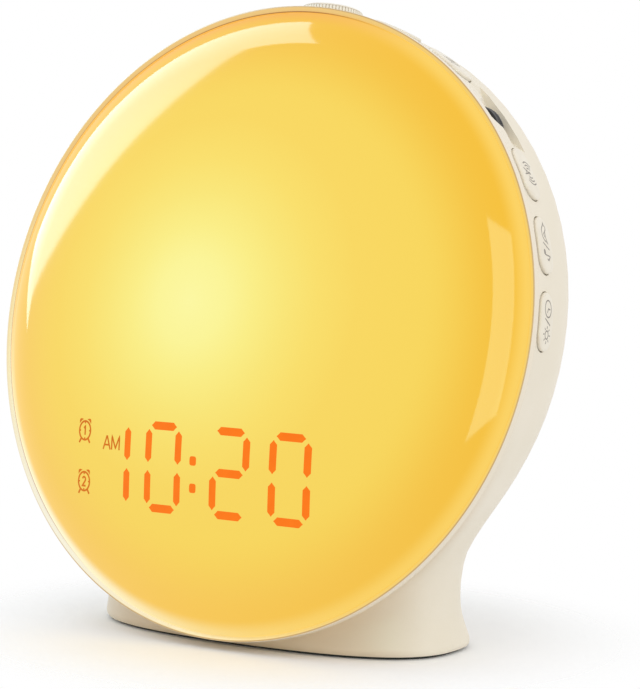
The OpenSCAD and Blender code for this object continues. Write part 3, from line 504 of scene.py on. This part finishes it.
# The dome is a wide cap that rolls over tightly from ROLL_START out to its rim, LIP_DROP behind the disc
CAP_R, ROLL_R, ROLL_START, DOME_R, LIP_DROP = 300.0, 30.0, 78.0, 90.0, 0.665
DOME_WALL, SKIRT_R, ROUND_STEPS = 2.2, 82.7, 288
CAP_ANGLE = math.asin(ROLL_START / CAP_R)
RIM_ANGLE = math.asin(math.sin(CAP_ANGLE) + (DOME_R - ROLL_START) / ROLL_R)
ROLL_X = ROLL_START - ROLL_R * math.sin(CAP_ANGLE)
ROLL_Y = -LIP_DROP - ROLL_R * math.cos(RIM_ANGLE)
CAP_Y = ROLL_Y - (CAP_R - ROLL_R) * math.cos(CAP_ANGLE)


def dome_line(inset, out_r, cap_steps, roll_steps):
    """Half section of the dome from its axis out to a radius, drawn in by an inset."""
    end = math.asin((out_r - ROLL_X) / (ROLL_R - inset))
    cap = [((CAP_R - inset) * math.sin(a), CAP_Y + (CAP_R - inset) * math.cos(a))
           for a in np.linspace(0, CAP_ANGLE, cap_steps)]
    return cap + [(ROLL_X + (ROLL_R - inset) * math.sin(a), ROLL_Y + (ROLL_R - inset) * math.cos(a))
                  for a in np.linspace(CAP_ANGLE, end, roll_steps)[1:]]


def front_dome(finish):
    """The dome with its rolled rim and the skirt behind it."""
    outside = dome_line(0, 89.85, 40, 26)
    skirt = [(89.95, -0.63), (DOME_R, -0.76), (DOME_R, -1.5), (84.9, -1.5), (84.9, -6.0), (SKIRT_R, -6.0)]
    inside = dome_line(DOME_WALL, SKIRT_R, 20, 10)[::-1]
    shell = turned(DISC, outside + skirt + inside, ROUND_STEPS)
    piece("front_dome", [shell], finish, "clock", ["front_diffuser"])


def lip_ring(finish):
    """Rounded lip round the dome's rim."""
    section = rounded([(85.0, -1.5), (90.1, -1.5), (90.1, -0.66, 0.1), (91.2, 0.0, 0.35),
                       (91.5, -0.3, 0.25), (91.5, -2.6, 0.15), (85.9, -2.6), (85.9, -6.0), (85.0, -6.0)])
    ring = turned(DISC, section, ROUND_STEPS, True)
    piece("lip_ring", [ring], finish, "clock", ["bezel_ring"])


def dome_skin(flat, lift):
    """Points of the dome's outside from places right and up of its middle, raised by a lift."""
    flat = np.asarray(flat, float)
    front = CAP_Y + np.sqrt((CAP_R + np.asarray(lift)) ** 2 - (flat ** 2).sum(1))
    return to_clock(DISC, np.column_stack([flat, front]))


def ribbon(skin, left, right, low, high, closed=False):
    """Thin solid on a skin between two lines of points, from one lift to another."""
    return loft([skin([a, a, b, b], [low, high, high, low]) for a, b in zip(left, right)], closed)


def dense(path, step=0.6):
    """The path with points at most a step apart."""
    found = [np.array(path[0], float)]
    for a, b in zip(path[:-1], path[1:]):
        a, b = np.array(a, float), np.array(b, float)
        count = max(1, math.ceil(np.linalg.norm(b - a) / step))
        found += [a + (b - a) * k / count for k in range(1, count + 1)]
    return np.array(found)


def stroke(skin, path, width, low, high, closed=False):
    """Ribbon of even width along a path, with mitred bends."""
    sharpest = 0.55
    path = np.array(path, float) if closed else dense(path)
    ahead = (np.roll(path, -1, 0) if closed else np.vstack([path[1:], 2 * path[-1] - path[-2]])) - path
    behind = path - (np.roll(path, 1, 0) if closed else np.vstack([2 * path[0] - path[1], path[:-1]]))
    ahead /= np.linalg.norm(ahead, axis=1)[:, None]
    behind /= np.linalg.norm(behind, axis=1)[:, None]
    along = ahead + behind
    along /= np.linalg.norm(along, axis=1)[:, None]
    half = width / 2 / np.clip((along * ahead).sum(1), sharpest, 1)
    side = np.column_stack([-along[:, 1], along[:, 0]]) * half[:, None]
    return ribbon(skin, path + side, path - side, low, high, closed)


def ring_path(x, y, wide, high, steps=40):
    """Points round an oval."""
    angles = np.arange(steps) * 2 * math.pi / steps
    return [(x + wide * math.cos(a), y + high * math.sin(a)) for a in angles]


def arc_path(x, y, radius, start, end, steps=12):
    """Points of a round arc from one angle to another, in degrees."""
    return [(x + radius * math.cos(math.radians(a)), y + radius * math.sin(math.radians(a)))
            for a in np.linspace(start, end, steps)]


def spot(skin, x, y, wide, high, low, top, square=2):
    """Oval spot, which a higher power makes more square."""
    steps = 15
    across = np.sin(np.linspace(-math.pi / 2, math.pi / 2, steps)) * 0.999
    reach = (1 - np.abs(across) ** square) ** (1 / square) * high
    centre = np.column_stack([x + across * wide, np.full(steps, float(y))])
    rise = np.column_stack([np.zeros(steps), reach])
    return ribbon(skin, centre + rise, centre - rise, low, top)


# Light on the dome is an inlay from INLAY_LOW under its surface to a hair above it
INLAY_LOW, DIGIT_TOP, SIGN_TOP = -0.3, 0.04, 0.035
BAR_HALF_L, BAR_HALF_W, TIP_L, TIP_HALF_W = 4.6, 1.15, 0.25, 0.12


def bar(x, y, upright):
    """One pointed segment of a digit, with softly blunted tips."""
    half = [BAR_HALF_L, BAR_HALF_L - TIP_L, BAR_HALF_L - BAR_HALF_W, 2.4, 1.2]
    along = np.array([-place for place in half] + [0] + half[::-1])
    reach = np.minimum(BAR_HALF_W, np.maximum(TIP_HALF_W, BAR_HALF_L - np.abs(along)))
    sides = [np.column_stack([side * reach, along]) for side in (1, -1)]
    if not upright:
        sides = [side[:, ::-1] for side in sides]
    return ribbon(dome_skin, sides[0] + [x, y], sides[1] + [x, y], INLAY_LOW, DIGIT_TOP)


# Each segment's place about its digit's middle, and whether it stands
SEGMENTS = [(0, 11.6, False), (5.5, 5.8, True), (5.5, -5.8, True), (0, -11.6, False), (-5.5, -5.8, True),
            (-5.5, 5.8, True), (0, 0, False)]
# Each digit's place and its lit segments
TEN_TWENTY = [(-35.1, (1, 2)), (-15.95, (0, 1, 2, 3, 4, 5)), (7.7, (0, 1, 3, 4, 6)),
              (27.4, (0, 1, 2, 3, 4, 5))]
DIGITS_V = -45.1
COLON = [(-5.0, -42.5), (-4.8, -50.1)]
COLON_HALF_W, COLON_HALF_H = 1.15, 1.3


def digits(finish):
    """The lit segments and the colon."""
    shells = []
    for u, lit in TEN_TWENTY:
        for right, up, upright in (SEGMENTS[k] for k in lit):
            shells.append(bar(u + right, DIGITS_V + up, upright))
    shells += [spot(dome_skin, u, v, COLON_HALF_W, COLON_HALF_H, INLAY_LOW, DIGIT_TOP, 4) for u, v in COLON]
    piece("digit_light", shells, finish, "clock")


def numeral_path(number):
    """Lines of a 1 or a 2 about one unit high."""
    if number == 1:
        return [(-0.22, 0.26), (0.04, 0.5), (0.04, -0.5)]
    return arc_path(0, 0.22, 0.28, 165, -20, 9) + [(0.16, -0.02), (-0.3, -0.5), (0.32, -0.5)]


def alarm_shells(skin, x, y, wide, high, number, width, low, top):
    """Alarm clock sign with a numeral for its face."""

    def on(points):
        return [(x + px * wide, y + py * high) for px, py in points]

    shells = [stroke(skin, ring_path(x, y, wide, high), width, low, top, True)]
    for px, py in ((1, 0), (0, 1), (-1, 0), (0, -1)):
        tick = on([(0.74 * px, 0.74 * py), (0.98 * px, 0.98 * py)])
        shells.append(stroke(skin, tick, width * 0.85, low, top))
    for side in (-1, 1):
        leg = on([(side * 0.62, -0.84), (side * 0.95, -1.3)])
        shells.append(stroke(skin, leg, width * 1.1, low, top))
        bell = [(side * px, py) for px, py in arc_path(0, 0, 1.24, 36, 76, 9)]
        swell = [math.sin(math.pi * k / 8) for k in range(9)]
        crown = [(px + side * 0.24 * more, py + 0.2 * more) for (px, py), more in zip(bell, swell)]
        shells.append(ribbon(skin, on(crown), on(bell), low, top))
    numeral = on([(px * 0.95, py * 0.95) for px, py in numeral_path(number)])
    shells.append(stroke(skin, numeral, width, low, top))
    return shells


# Number and place of each alarm sign, and the sizes of both
ALARMS = [(1, -47.4, -36.5), (2, -47.0, -51.1)]
ALARM_HALF_W, ALARM_HALF_H, ALARM_LINE = 2.35, 2.7, 0.55

# Strokes of AM: millimetres to the right of its left end, and shares of its height
AM_LEFT, AM_FOOT, AM_H, AM_LINE = -39.4, -41.4, 3.95, 0.5
AM_STROKES = [[(0, 0), (1.4, 1)], [(1.45, 1), (2.85, 0)], [(0.55, 0.33), (2.3, 0.33)],
              [(3.45, 0), (3.45, 1), (4.95, 0.12), (6.45, 1), (6.45, 0)]]


def display_signs(finish):
    """The alarm signs and AM, left of the digits."""
    shells = []
    for number, u, v in ALARMS:
        shells += alarm_shells(dome_skin, u, v, ALARM_HALF_W, ALARM_HALF_H, number, ALARM_LINE, INLAY_LOW,
                               SIGN_TOP)
    for path in AM_STROKES:
        line = [(AM_LEFT + px, AM_FOOT + py * AM_H) for px, py in path]
        shells.append(stroke(dome_skin, line, AM_LINE, INLAY_LOW, SIGN_TOP))
    piece("sign_light", shells, finish, "clock")


# --------------------------------------------------------------------------------------------- housing


# The sizes of the smooth body, as the solid housing has them
CASE_R, CASE_DEPTH, CASE_ROUND, CASE_TAPER, BLEND = 91.2, 41.0, 18.3, 0.16, 6.0
FOOT_HALF_W, FLARE, FLARE_POWER, WAIST_H, FOOT_TOP = 57.8, 0.0474, 1.57, 11.8, 56.0
FOOT_FRONT, FRONT_RISE, FOOT_REAR, TAIL_L, TAIL_H, TAIL_POWER = 12.5, 0.11, 26.0, 16.5, 60.0, 1.6
FOOT_EDGE, FOOT_SQUARE = 3.0, 2.6


def drum_field(x, v, t):
    """Distance from the case, whose round sections shrink and climb with depth."""
    side = np.hypot(x, v - CASE_TAPER * t) - (CASE_R - CASE_TAPER * t - CASE_ROUND)
    back = t - (CASE_DEPTH - CASE_ROUND)
    outside = np.hypot(np.maximum(side, 0), np.maximum(back, 0))
    return outside + np.minimum(np.maximum(side, back), 0) - CASE_ROUND


def foot_field(x, y, h):
    """Distance from the foot, whose level sections are rounded oblongs."""
    cut = FOOT_EDGE - np.sqrt(FOOT_EDGE ** 2 - np.clip(FOOT_EDGE - h, 0, FOOT_EDGE) ** 2)
    front = FRONT_RISE * h - FOOT_FRONT
    rear = FOOT_REAR + TAIL_L * np.maximum(1 - h / TAIL_H, 0) ** TAIL_POWER
    half_w = FOOT_HALF_W + FLARE * np.abs(h - WAIST_H) ** FLARE_POWER - cut
    half_d = (rear - front) / 2 - cut
    dy = y - (rear + front) / 2
    wide, deep = (np.abs(x) / half_w) ** FOOT_SQUARE, (np.abs(dy) / half_d) ** FOOT_SQUARE
    share = (wide + deep) ** (1 / FOOT_SQUARE)
    reach = np.hypot(x, dy)
    return np.maximum(reach - reach / np.maximum(share, 0.01), h - FOOT_TOP)


def body_field(points):
    """Distance from the smooth blended body, for points of the clock in millimetres."""
    x, y, h = points.T
    drum = drum_field(x, up_disc(y, h), behind_disc(y, h))
    foot = foot_field(x, y - DISC_Y, h)
    return np.minimum(drum, foot) - np.maximum(BLEND - np.abs(drum - foot), 0) ** 2 / (4 * BLEND)


def body_normals(points):
    """Directions straight out of the blended body."""
    steps = np.eye(3) * 0.05
    slopes = np.column_stack([body_field(points + step) - body_field(points - step) for step in steps])
    return slopes / np.maximum(np.linalg.norm(slopes, axis=1), 1e-9)[:, None]


def thumb_dip():
    """Slanting round cutter that sinks the case's edge before the thumbwheel, so that its face shows."""
    radius, depth, out, behind, tilt = 9 * MM, 17.9 * MM, 18.71, 5.05, 25.8
    built = bmesh.new()
    bmesh.ops.create_cone(built, cap_ends=True, segments=96, radius1=radius, radius2=radius, depth=depth)
    slanting = WHEEL @ shift(out, 0, -behind) @ turn(tilt, "Y")
    slanting.translation *= MM
    built.transform(slanting)
    mesh = bpy.data.meshes.new("thumb_dip")
    built.to_mesh(mesh)
    built.free()
    return mesh


def carved(blank, cutter):
    """Copy of a mesh with a cutter taken out of it."""
    work, tool = (bpy.data.objects.new(mesh.name, mesh) for mesh in (blank, cutter))
    for made in (work, tool):
        bpy.context.scene.collection.objects.link(made)
    cut = work.modifiers.new("cut", "BOOLEAN")
    cut.operation, cut.solver, cut.object = "DIFFERENCE", "EXACT", tool
    bpy.context.view_layer.update()
    found = bpy.data.meshes.new_from_object(work.evaluated_get(bpy.context.evaluated_depsgraph_get()))
    for made in (work, tool):
        bpy.data.objects.remove(made)
    return found


# A face follows the smooth body where it is this near, turned the same way and clear of the floor
NEAR_BODY, SAME_WAY, OFF_FLOOR = 0.2, 0.86, 1.0


def smooth_case(finish):
    """The housing with the normals of the smooth body it follows, and sharp edges at its pockets."""
    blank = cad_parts["main_housing"].data.copy()
    built = bmesh.new()
    built.from_mesh(blank)
    bmesh.ops.remove_doubles(built, verts=built.verts, dist=1e-7)
    built.to_mesh(blank)
    built.free()
    mesh = carved(blank, thumb_dip())
    if "custom_normal" in mesh.attributes:
        mesh.attributes.remove(mesh.attributes["custom_normal"])
    mesh.shade_smooth()
    mesh.set_sharp_from_angle(angle=math.radians(30))
    corners = np.array([v.co for v in mesh.vertices]) / MM
    near = np.abs(body_field(corners)) < NEAR_BODY
    out = body_normals(corners)
    normals = np.array([n.vector for n in mesh.corner_normals])
    for face in mesh.polygons:
        held = list(face.vertices)
        same_way = (out[held] @ np.array(face.normal)).min() > SAME_WAY
        if near[held].all() and same_way and corners[held, 2].max() > OFF_FLOOR:
            normals[list(face.loop_indices)] = out[held]
    mesh.normals_split_custom_set([tuple(n) for n in normals])
    placed("case_shell", mesh, finish, "clock", ["main_housing"])


# -------------------------------------------------------------------------------------------- controls


# Buttons are pills with ends of PILL_R and straight sides of twice PILL_STRAIGHT, BUTTON_DEPTH behind the
# disc. At each height over the flank PILL gives how far the outline is drawn in, and STEM the radius.
BUTTON_DEPTH, PILL_R, PILL_STRAIGHT, STEM_BACK = 9.0, 4.5, 3.5, 2.7
PILL = [(0.25, -0.4), (0.0, -0.3), (0.0, 0.28), (0.03, 0.42), (0.12, 0.56), (0.28, 0.68), (0.52, 0.77),
        (0.9, 0.83), (1.5, 0.865), (2.4, 0.885), (3.4, 0.895), (4.3, 0.9)]
STEM = [(1.4, -0.35), (1.4, -3.9), (1.8, -3.9), (2.0, -4.0), (2.0, -4.8), (1.8, -4.9)]
MARK_LOW, MARK_TOP, MARK_W, SIGN_SCALE = -0.12, 0.012, 0.29, 1.3


def flank(place):
    """Skin of the case's right side at one of its places: along it, towards the front and a height."""
    angle = math.radians(FLANK_START + FLANK_STEP * place)
    slope = CASE_TAPER * (1 - math.sin(angle))
    radius, tilt = CASE_R - slope * BUTTON_DEPTH, math.atan(slope)

    def skin(along, front, height):
        along, front, height = (np.asarray(a, float) for a in np.broadcast_arrays(along, front, height))
        out = radius + height * math.cos(tilt) + front * math.sin(tilt)
        around = angle + along / radius
        depth = -BUTTON_DEPTH - height * math.sin(tilt) + front * math.cos(tilt)
        return to_clock(DISC, np.column_stack([out * np.cos(around), out * np.sin(around), depth]))

    return skin


def pill_ring(inset):
    """Outline of a button, drawn in by an inset."""
    radius = PILL_R - inset
    found = []
    for side, start in ((1, -math.pi / 2), (-1, math.pi / 2)):
        found += [(side * PILL_STRAIGHT + radius * math.cos(a), radius * math.sin(a))
                  for a in np.linspace(start, start + math.pi, 19)]
        straight = np.linspace(PILL_STRAIGHT, -PILL_STRAIGHT, 8)[1:-1]
        found += [(side * along, side * radius) for along in straight]
    return np.array(found)


def button(name, place, signs, finish, mark_finish):
    """Rounded pill on a stem, with a grey pictogram that reads down the flank."""
    skin = flank(place)
    cap = loft([skin(*pill_ring(inset).T, height) for inset, height in PILL])
    angles = np.arange(32) * math.pi / 16
    stem = loft([skin(radius * np.cos(angles), radius * np.sin(angles) - STEM_BACK, height)
                 for radius, height in STEM])
    piece(name + "_cap", [cap, stem], finish, name, [name])
    insets, heights = np.array(PILL[2:]).T

    def mark_skin(flat, lift):
        flat = np.asarray(flat, float) * SIGN_SCALE
        inset = PILL_R - np.hypot(np.maximum(np.abs(flat[:, 0]) - PILL_STRAIGHT, 0), flat[:, 1])
        return skin(-flat[:, 0], -flat[:, 1], np.interp(inset, insets, heights) + np.asarray(lift))

    marks = [shell for sign in signs for shell in sign(mark_skin)]
    piece(name + "_mark", marks, mark_finish, name)


def mark(skin, path, width=MARK_W, closed=False):
    return stroke(skin, path, width, MARK_LOW, MARK_TOP, closed)


# Each sign takes its place along the button, and gives what draws it on a skin


def clock_sign(x):
    return lambda skin: [mark(skin, ring_path(x, 0, 1.75, 1.75), closed=True),
                         mark(skin, [(x, 1.15), (x, 0), (x + 0.85, -0.45)])]


def sun_sign(x):
    rays = list(zip(ring_path(x, 0, 1.25, 1.25, 8), ring_path(x, 0, 1.85, 1.85, 8)))
    return lambda skin: [mark(skin, ring_path(x, 0, 0.85, 0.85, 24), closed=True)] + [
        mark(skin, ray) for ray in rays]


def slash_sign(x):
    return lambda skin: [mark(skin, [(x - 0.55, -1.5), (x + 0.55, 1.5)])]


def bird_sign(x):
    """Small bird on the wing: round body, beak, tail and a raised wing."""
    return lambda skin: [
        mark(skin, [(x - 2.3, 0.1), (x - 1.7, 0.45)] + arc_path(x - 1.2, 0.25, 0.6, 150, 30, 6)
             + [(x - 0.3, 0.25), (x + 0.9, 0.35), (x + 2.1, 1.1), (x + 1.7, 0.2)]
             + arc_path(x + 0.05, 0.35, 1.75, -20, -130, 10) + [(x - 1.75, -0.25)], closed=True),
        mark(skin, [(x - 0.3, 0.0), (x + 0.3, -0.45), (x + 0.9, -0.15)])]


def note_sign(x):
    return lambda skin: [
        spot(skin, x - 0.75, -1.2, 0.62, 0.48, MARK_LOW, MARK_TOP),
        mark(skin, [(x - 0.22, -1.15), (x - 0.22, 1.6)]),
        mark(skin, [(x - 0.22, 1.5), (x + 0.35, 1.05), (x + 0.75, 0.55), (x + 0.6, -0.1)], 0.34)]


def waves_sign(x):
    """Mast with waves on both sides."""
    return lambda skin: [mark(skin, [(x - 0.75, -1.9), (x, 0.35), (x + 0.75, -1.9)]),
                         mark(skin, [(x - 0.45, -1.0), (x + 0.45, -1.0)]),
                         spot(skin, x, 0.6, 0.36, 0.36, MARK_LOW, MARK_TOP)] + [
        mark(skin, [(x + px, 0.6 + py) for px, py in arc_path(0, 0, r, a - 42, a + 42)])
        for a in (0, 180) for r in (1.15, 1.9, 2.65)]


def alarm_sign(x, number):
    return lambda skin: alarm_shells(skin, x, -0.05, 1.45, 1.45, number, MARK_W, MARK_LOW, MARK_TOP)


def volume_thumbwheel(finish):
    """Black wheel: a rounded rim with a fine knurl between two smooth edges, on its shaft."""
    steps, teeth = 720, 90
    knurl = 0.09 * (1 - np.cos(np.arange(steps) * 2 * math.pi * teeth / steps))
    profile = [(0, -9.0), (5.6, -9.0), (5.9, -9.15), (7.6, -9.15), (7.9, -9.0), (8.45, -9.0),
               (8.72, -9.06), (8.91, -9.24), (9.0, -9.5), (9.0, -9.85), (9.0 - knurl, -10.1),
               (9.0 - knurl, -11.9), (9.0, -12.15), (9.0, -12.5), (8.91, -12.76), (8.72, -12.94),
               (8.45, -13.0), (2.0, -13.0), (2.0, -20.6), (1.7, -20.9), (0, -20.9)]
    wheel = turned(WHEEL, profile, steps)
    piece("volume_thumbwheel", [wheel], finish, "volume_wheel", ["volume_wheel"])


def ribbed_dial(finish):
    """Dial with fine upright ribs that die into a rounded crown, hollow over its hub."""
    ribs, per_rib, rib_h, foot_r, hollow_r, hem = 58, 12, 0.42, 8.83, 7.2, 89.9
    narrowed, steps = 1.02, ribs * per_rib
    swing = (np.arange(steps) % per_rib - per_rib / 2) / (per_rib / 2)
    rib = rib_h * np.sqrt(1 - np.minimum(np.abs(swing) * narrowed, 1) ** 2)
    hem_r = foot_r - 0.15 + rib * 0.8
    outside = [(hem_r, hem), (foot_r + rib, 90.1), (foot_r + rib, 93.9), (foot_r + rib * 0.9, 94.25),
               (foot_r - 0.06 + rib * 0.7, 94.6), (foot_r - 0.22 + rib * 0.4, 94.92),
               (foot_r - 0.47 + rib * 0.1, 95.18), (8.05, 95.34), (7.6, 95.4), (6.2, 95.4), (5.9, 95.32),
               (5.4, 95.1), (4.0, 94.98), (0, 94.95)]
    inside = [(0, 94.4), (3.0, 94.4), (3.0, 91.8), (4.6, 91.8), (4.6, 93.8), (hollow_r, 93.8),
              (hollow_r, hem)]
    shells = [turned(DIAL, outside, steps), turned(DIAL, inside, steps),
              turned(DIAL, [(hollow_r, hem), (hem_r, hem)], steps)]
    piece("ribbed_dial", shells, finish, "dial", ["dial_knob"], 40)


# ---------------------------------------------------------------------------------------------- studio


DOME_MIDDLE = Vector((0, DISC_Y * MM, DISC_Z * MM))


def floor():
    """Pale floor that keeps the clock's shadow and runs out into the white background."""
    made = Finish("floor_white", Roughness=0.85)
    x, y, _ = made.position()
    away = length(x, y * 1.2)
    paper = made.noise(40, 4)
    white = made.blend(paper.ramp(0.3, 0.7), (0.965, 0.97, 0.985, 1), (0.95, 0.955, 0.97, 1))
    made.shade({"Base Color": white})
    paint, clear = Value(made, made.shader.outputs[0]), made.node("BsdfTransparent")
    mixed = made.node("MixShader", {0: away.ramp(58, 122), 1: paint, 2: clear})
    made.tree.links.new(mixed.socket, made.tree.nodes["Material Output"].inputs[0])
    half, under_foot = 1.2, -5e-5
    corners = [(x * half, y * half, under_foot) for x, y in ((-1, -1), (1, -1), (1, 1), (-1, 1))]
    mesh = bpy.data.meshes.new("floor")
    mesh.from_pydata(corners, [], [(0, 1, 2, 3)])
    mesh.materials.append(made.material)
    ground = bpy.data.objects.new("floor", mesh)
    bpy.context.scene.collection.objects.link(ground)


def toward(side, height):
    """Direction out from the dome: degrees to the right of the front, and degrees up."""
    a, e = math.radians(side), math.radians(height)
    return Vector((math.sin(a) * math.cos(e), -math.cos(a) * math.cos(e), math.sin(e)))


def softbox(name, side, height, distance, wide, tall, level,
            roll=0, tint=(1, 1, 1), mirrored=True, spread=True):
    """Soft light aimed at the dome from a direction. Its level is how bright its face is."""
    way = toward(side, height)
    lamp = bpy.data.lights.new(name, "AREA")
    lamp.shape, lamp.size, lamp.size_y = "RECTANGLE", wide, tall
    lamp.energy, lamp.color = level * math.pi * wide * tall, tint
    made = bpy.data.objects.new(name, lamp)
    made.location = DOME_MIDDLE + way * distance
    made.rotation_mode = "QUATERNION"
    made.rotation_quaternion = (-way).to_track_quat("-Z", "Y") @ Quaternion((0, 0, 1), math.radians(roll))
    made.visible_camera = False
    made.visible_glossy, made.visible_diffuse = mirrored, spread
    bpy.context.scene.collection.objects.link(made)


def white_room(level):
    """World that is white where it is seen or mirrored, and lights the clock softly."""
    world = bpy.data.worlds.new("white_room")
    world.use_nodes = True
    tree = world.node_tree
    tree.nodes.clear()
    add = tree.nodes.new
    kinds = ("Background", "Background", "MixShader", "OutputWorld", "LightPath")
    seen, lit, mix, out, path = (add("ShaderNode" + kind) for kind in kinds)
    seen.inputs[0].default_value = lit.inputs[0].default_value = (1, 1, 1, 1)
    seen.inputs[1].default_value, lit.inputs[1].default_value = 1.0, level
    first, second = (add("ShaderNodeMath") for _ in range(2))
    first.operation = second.operation = "MAXIMUM"
    link = tree.links.new
    link(path.outputs["Is Camera Ray"], first.inputs[0])
    link(path.outputs["Is Glossy Ray"], first.inputs[1])
    link(first.outputs[0], second.inputs[0])
    link(path.outputs["Is Transmission Ray"], second.inputs[1])
    link(second.outputs[0], mix.inputs[0])
    link(lit.outputs[0], mix.inputs[1])
    link(seen.outputs[0], mix.inputs[2])
    link(mix.outputs[0], out.inputs[0])
    bpy.context.scene.world = world


def camera():
    """Camera in front of the clock, to its right and a little above the dome's middle."""
    side, height, distance = 36.01, 4.82, 0.776
    pan, tilt = math.radians(-1.41), math.radians(-0.53)
    back = toward(side, height)
    swing = Matrix.Rotation(pan, 3, "Z")
    right = swing @ toward(side + 90, 0)
    ahead = swing @ -back
    up = right.cross(ahead)
    ahead, up = ahead * math.cos(tilt) + up * math.sin(tilt), up * math.cos(tilt) - ahead * math.sin(tilt)
    data = bpy.data.cameras.new("camera")
    data.lens, data.sensor_width = 142.33, 36.0
    data.clip_start, data.clip_end = 0.05, 20.0
    made = bpy.data.objects.new("camera", data)
    place = Matrix((right, up, -ahead)).transposed().to_4x4()
    place.translation = DOME_MIDDLE + back * distance
    made.matrix_world = place
    bpy.context.scene.collection.objects.link(made)
    bpy.context.scene.camera = made


# ---------------------------------------------------------------------------------------------- clock

camera()
floor()
white_room(level=0.85)
softbox("softbox_left", side=-80.2, height=33.9, distance=1.2, wide=0.535, tall=1.195, level=8.5,
        roll=-13.6, tint=(0.52, 0.84, 1.0), spread=False)
softbox("softbox_right", side=28, height=18, distance=1.6, wide=0.62, tall=1.2, level=6.0,
        tint=(0.42, 0.95, 0.8), spread=False)
softbox("softbox_front", side=15, height=48, distance=1.4, wide=1.0, tall=1.0, level=0.9, mirrored=False)
softbox("softbox_side", side=95, height=20, distance=1.4, wide=0.9, tall=0.9, level=1.1, mirrored=False)
bpy.context.scene.view_settings.view_transform = "Standard"

front_dome(dome_finish())
lip_ring(lip_finish())
digits(glow_finish("segment_light", screen(255, 123, 8), screen(252, 119, 6), 0.84))
display_signs(glow_finish("sign_light", screen(224, 120, 14), screen(217, 115, 14), 0.8))
smooth_case(case_finish())
satin_button = button_finish()
grey_ink = moulded("pictogram_grey", screen(142, 134, 124), screen(132, 124, 114), 0.5)
for name, place, signs in (
        ("button_time_set", 0, [clock_sign(-2.7), slash_sign(0), sun_sign(2.7)]),
        ("button_sound", 1, [bird_sign(-2.5), slash_sign(0.3), note_sign(2.5)]),
        ("button_radio", 2, [waves_sign(0)]),
        ("button_alarm_two", 4, [alarm_sign(0, 2)]),
        ("button_alarm_one", 5, [alarm_sign(0, 1)])):
    button(name, place, signs, satin_button, grey_ink)
volume_thumbwheel(wheel_finish())
ribbed_dial(dial_finish())

# Finish of every CAD node that keeps its own shape, by the node's material
MASK_WHITE, TRACE_WHITE, PAD_WHITE = screen(240, 241, 236), screen(228, 230, 224), screen(200, 198, 190)
MASK_GREEN, TRACE_GREEN, PAD_GREEN = screen(34, 96, 58), screen(52, 122, 74), screen(204, 202, 192)
SLEEVE, SLEEVE_DARK = screen(38, 54, 104), screen(30, 44, 88)
BLACK_MOULD, DARK_MOULD = (0.025, 0.025, 0.027, 1), (0.04, 0.04, 0.042, 1)
FERRITE, FERRITE_DARK = (0.16, 0.16, 0.17, 1), (0.1, 0.1, 0.105, 1)
TIN, TIN_DARK = (0.66, 0.66, 0.68, 1), (0.55, 0.55, 0.57, 1)
ZINC, ZINC_DARK = (0.62, 0.63, 0.65, 1), (0.5, 0.51, 0.54, 1)
NODE_FINISHES = {
    "cover_cream": moulded("cover_grain", screen(228, 218, 200), screen(224, 214, 195), 0.58, 1500, 3e-5),
    "segment_orange": glow_finish("insert_lit", screen(255, 140, 40), screen(250, 128, 32), 0.9),
    "segment_dark": moulded("insert_dark", screen(206, 186, 156), screen(196, 176, 146), 0.4),
    "lamp_yellow": lamp_finish(),
    "inner_white": moulded("reflector_white", screen(247, 247, 243), screen(240, 240, 235), 0.35, 1800),
    "inner_dark": moulded("inner_black", (0.03, 0.03, 0.032, 1), (0.045, 0.045, 0.048, 1), 0.45),
    "board_white": circuit_finish("board_white", MASK_WHITE, TRACE_WHITE, PAD_WHITE),
    "board_green": circuit_finish("board_green", MASK_GREEN, TRACE_GREEN, PAD_GREEN),
    "chip_black": moulded("chip_black", BLACK_MOULD, DARK_MOULD, 0.55, 4200, 2e-5),
    "shield_metal": metal("shield_tin", TIN, TIN_DARK, 0.28, (300, 2600, 300)),
    "capacitor_sleeve": moulded("capacitor_sleeve", SLEEVE, SLEEVE_DARK, 0.3, 900, 1e-5),
    "basket_metal": moulded("basket_paint", BLACK_MOULD, DARK_MOULD, 0.42, 1600, 2e-5),
    "magnet_grey": metal("magnet_dull", FERRITE, FERRITE_DARK, 0.5, (900, 900, 900)),
    "cone_paper": cone_finish(),
    "screw_steel": metal("screw_zinc", ZINC, ZINC_DARK, 0.24, (1800, 1800, 1800)),
    "black_rubber": rubber_finish(),
}
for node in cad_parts.values():
    for holder in node.material_slots:
        wanted = NODE_FINISHES.get(holder.material.name.split(".")[0] if holder.material else "")
        if wanted:
            holder.material = wanted.material
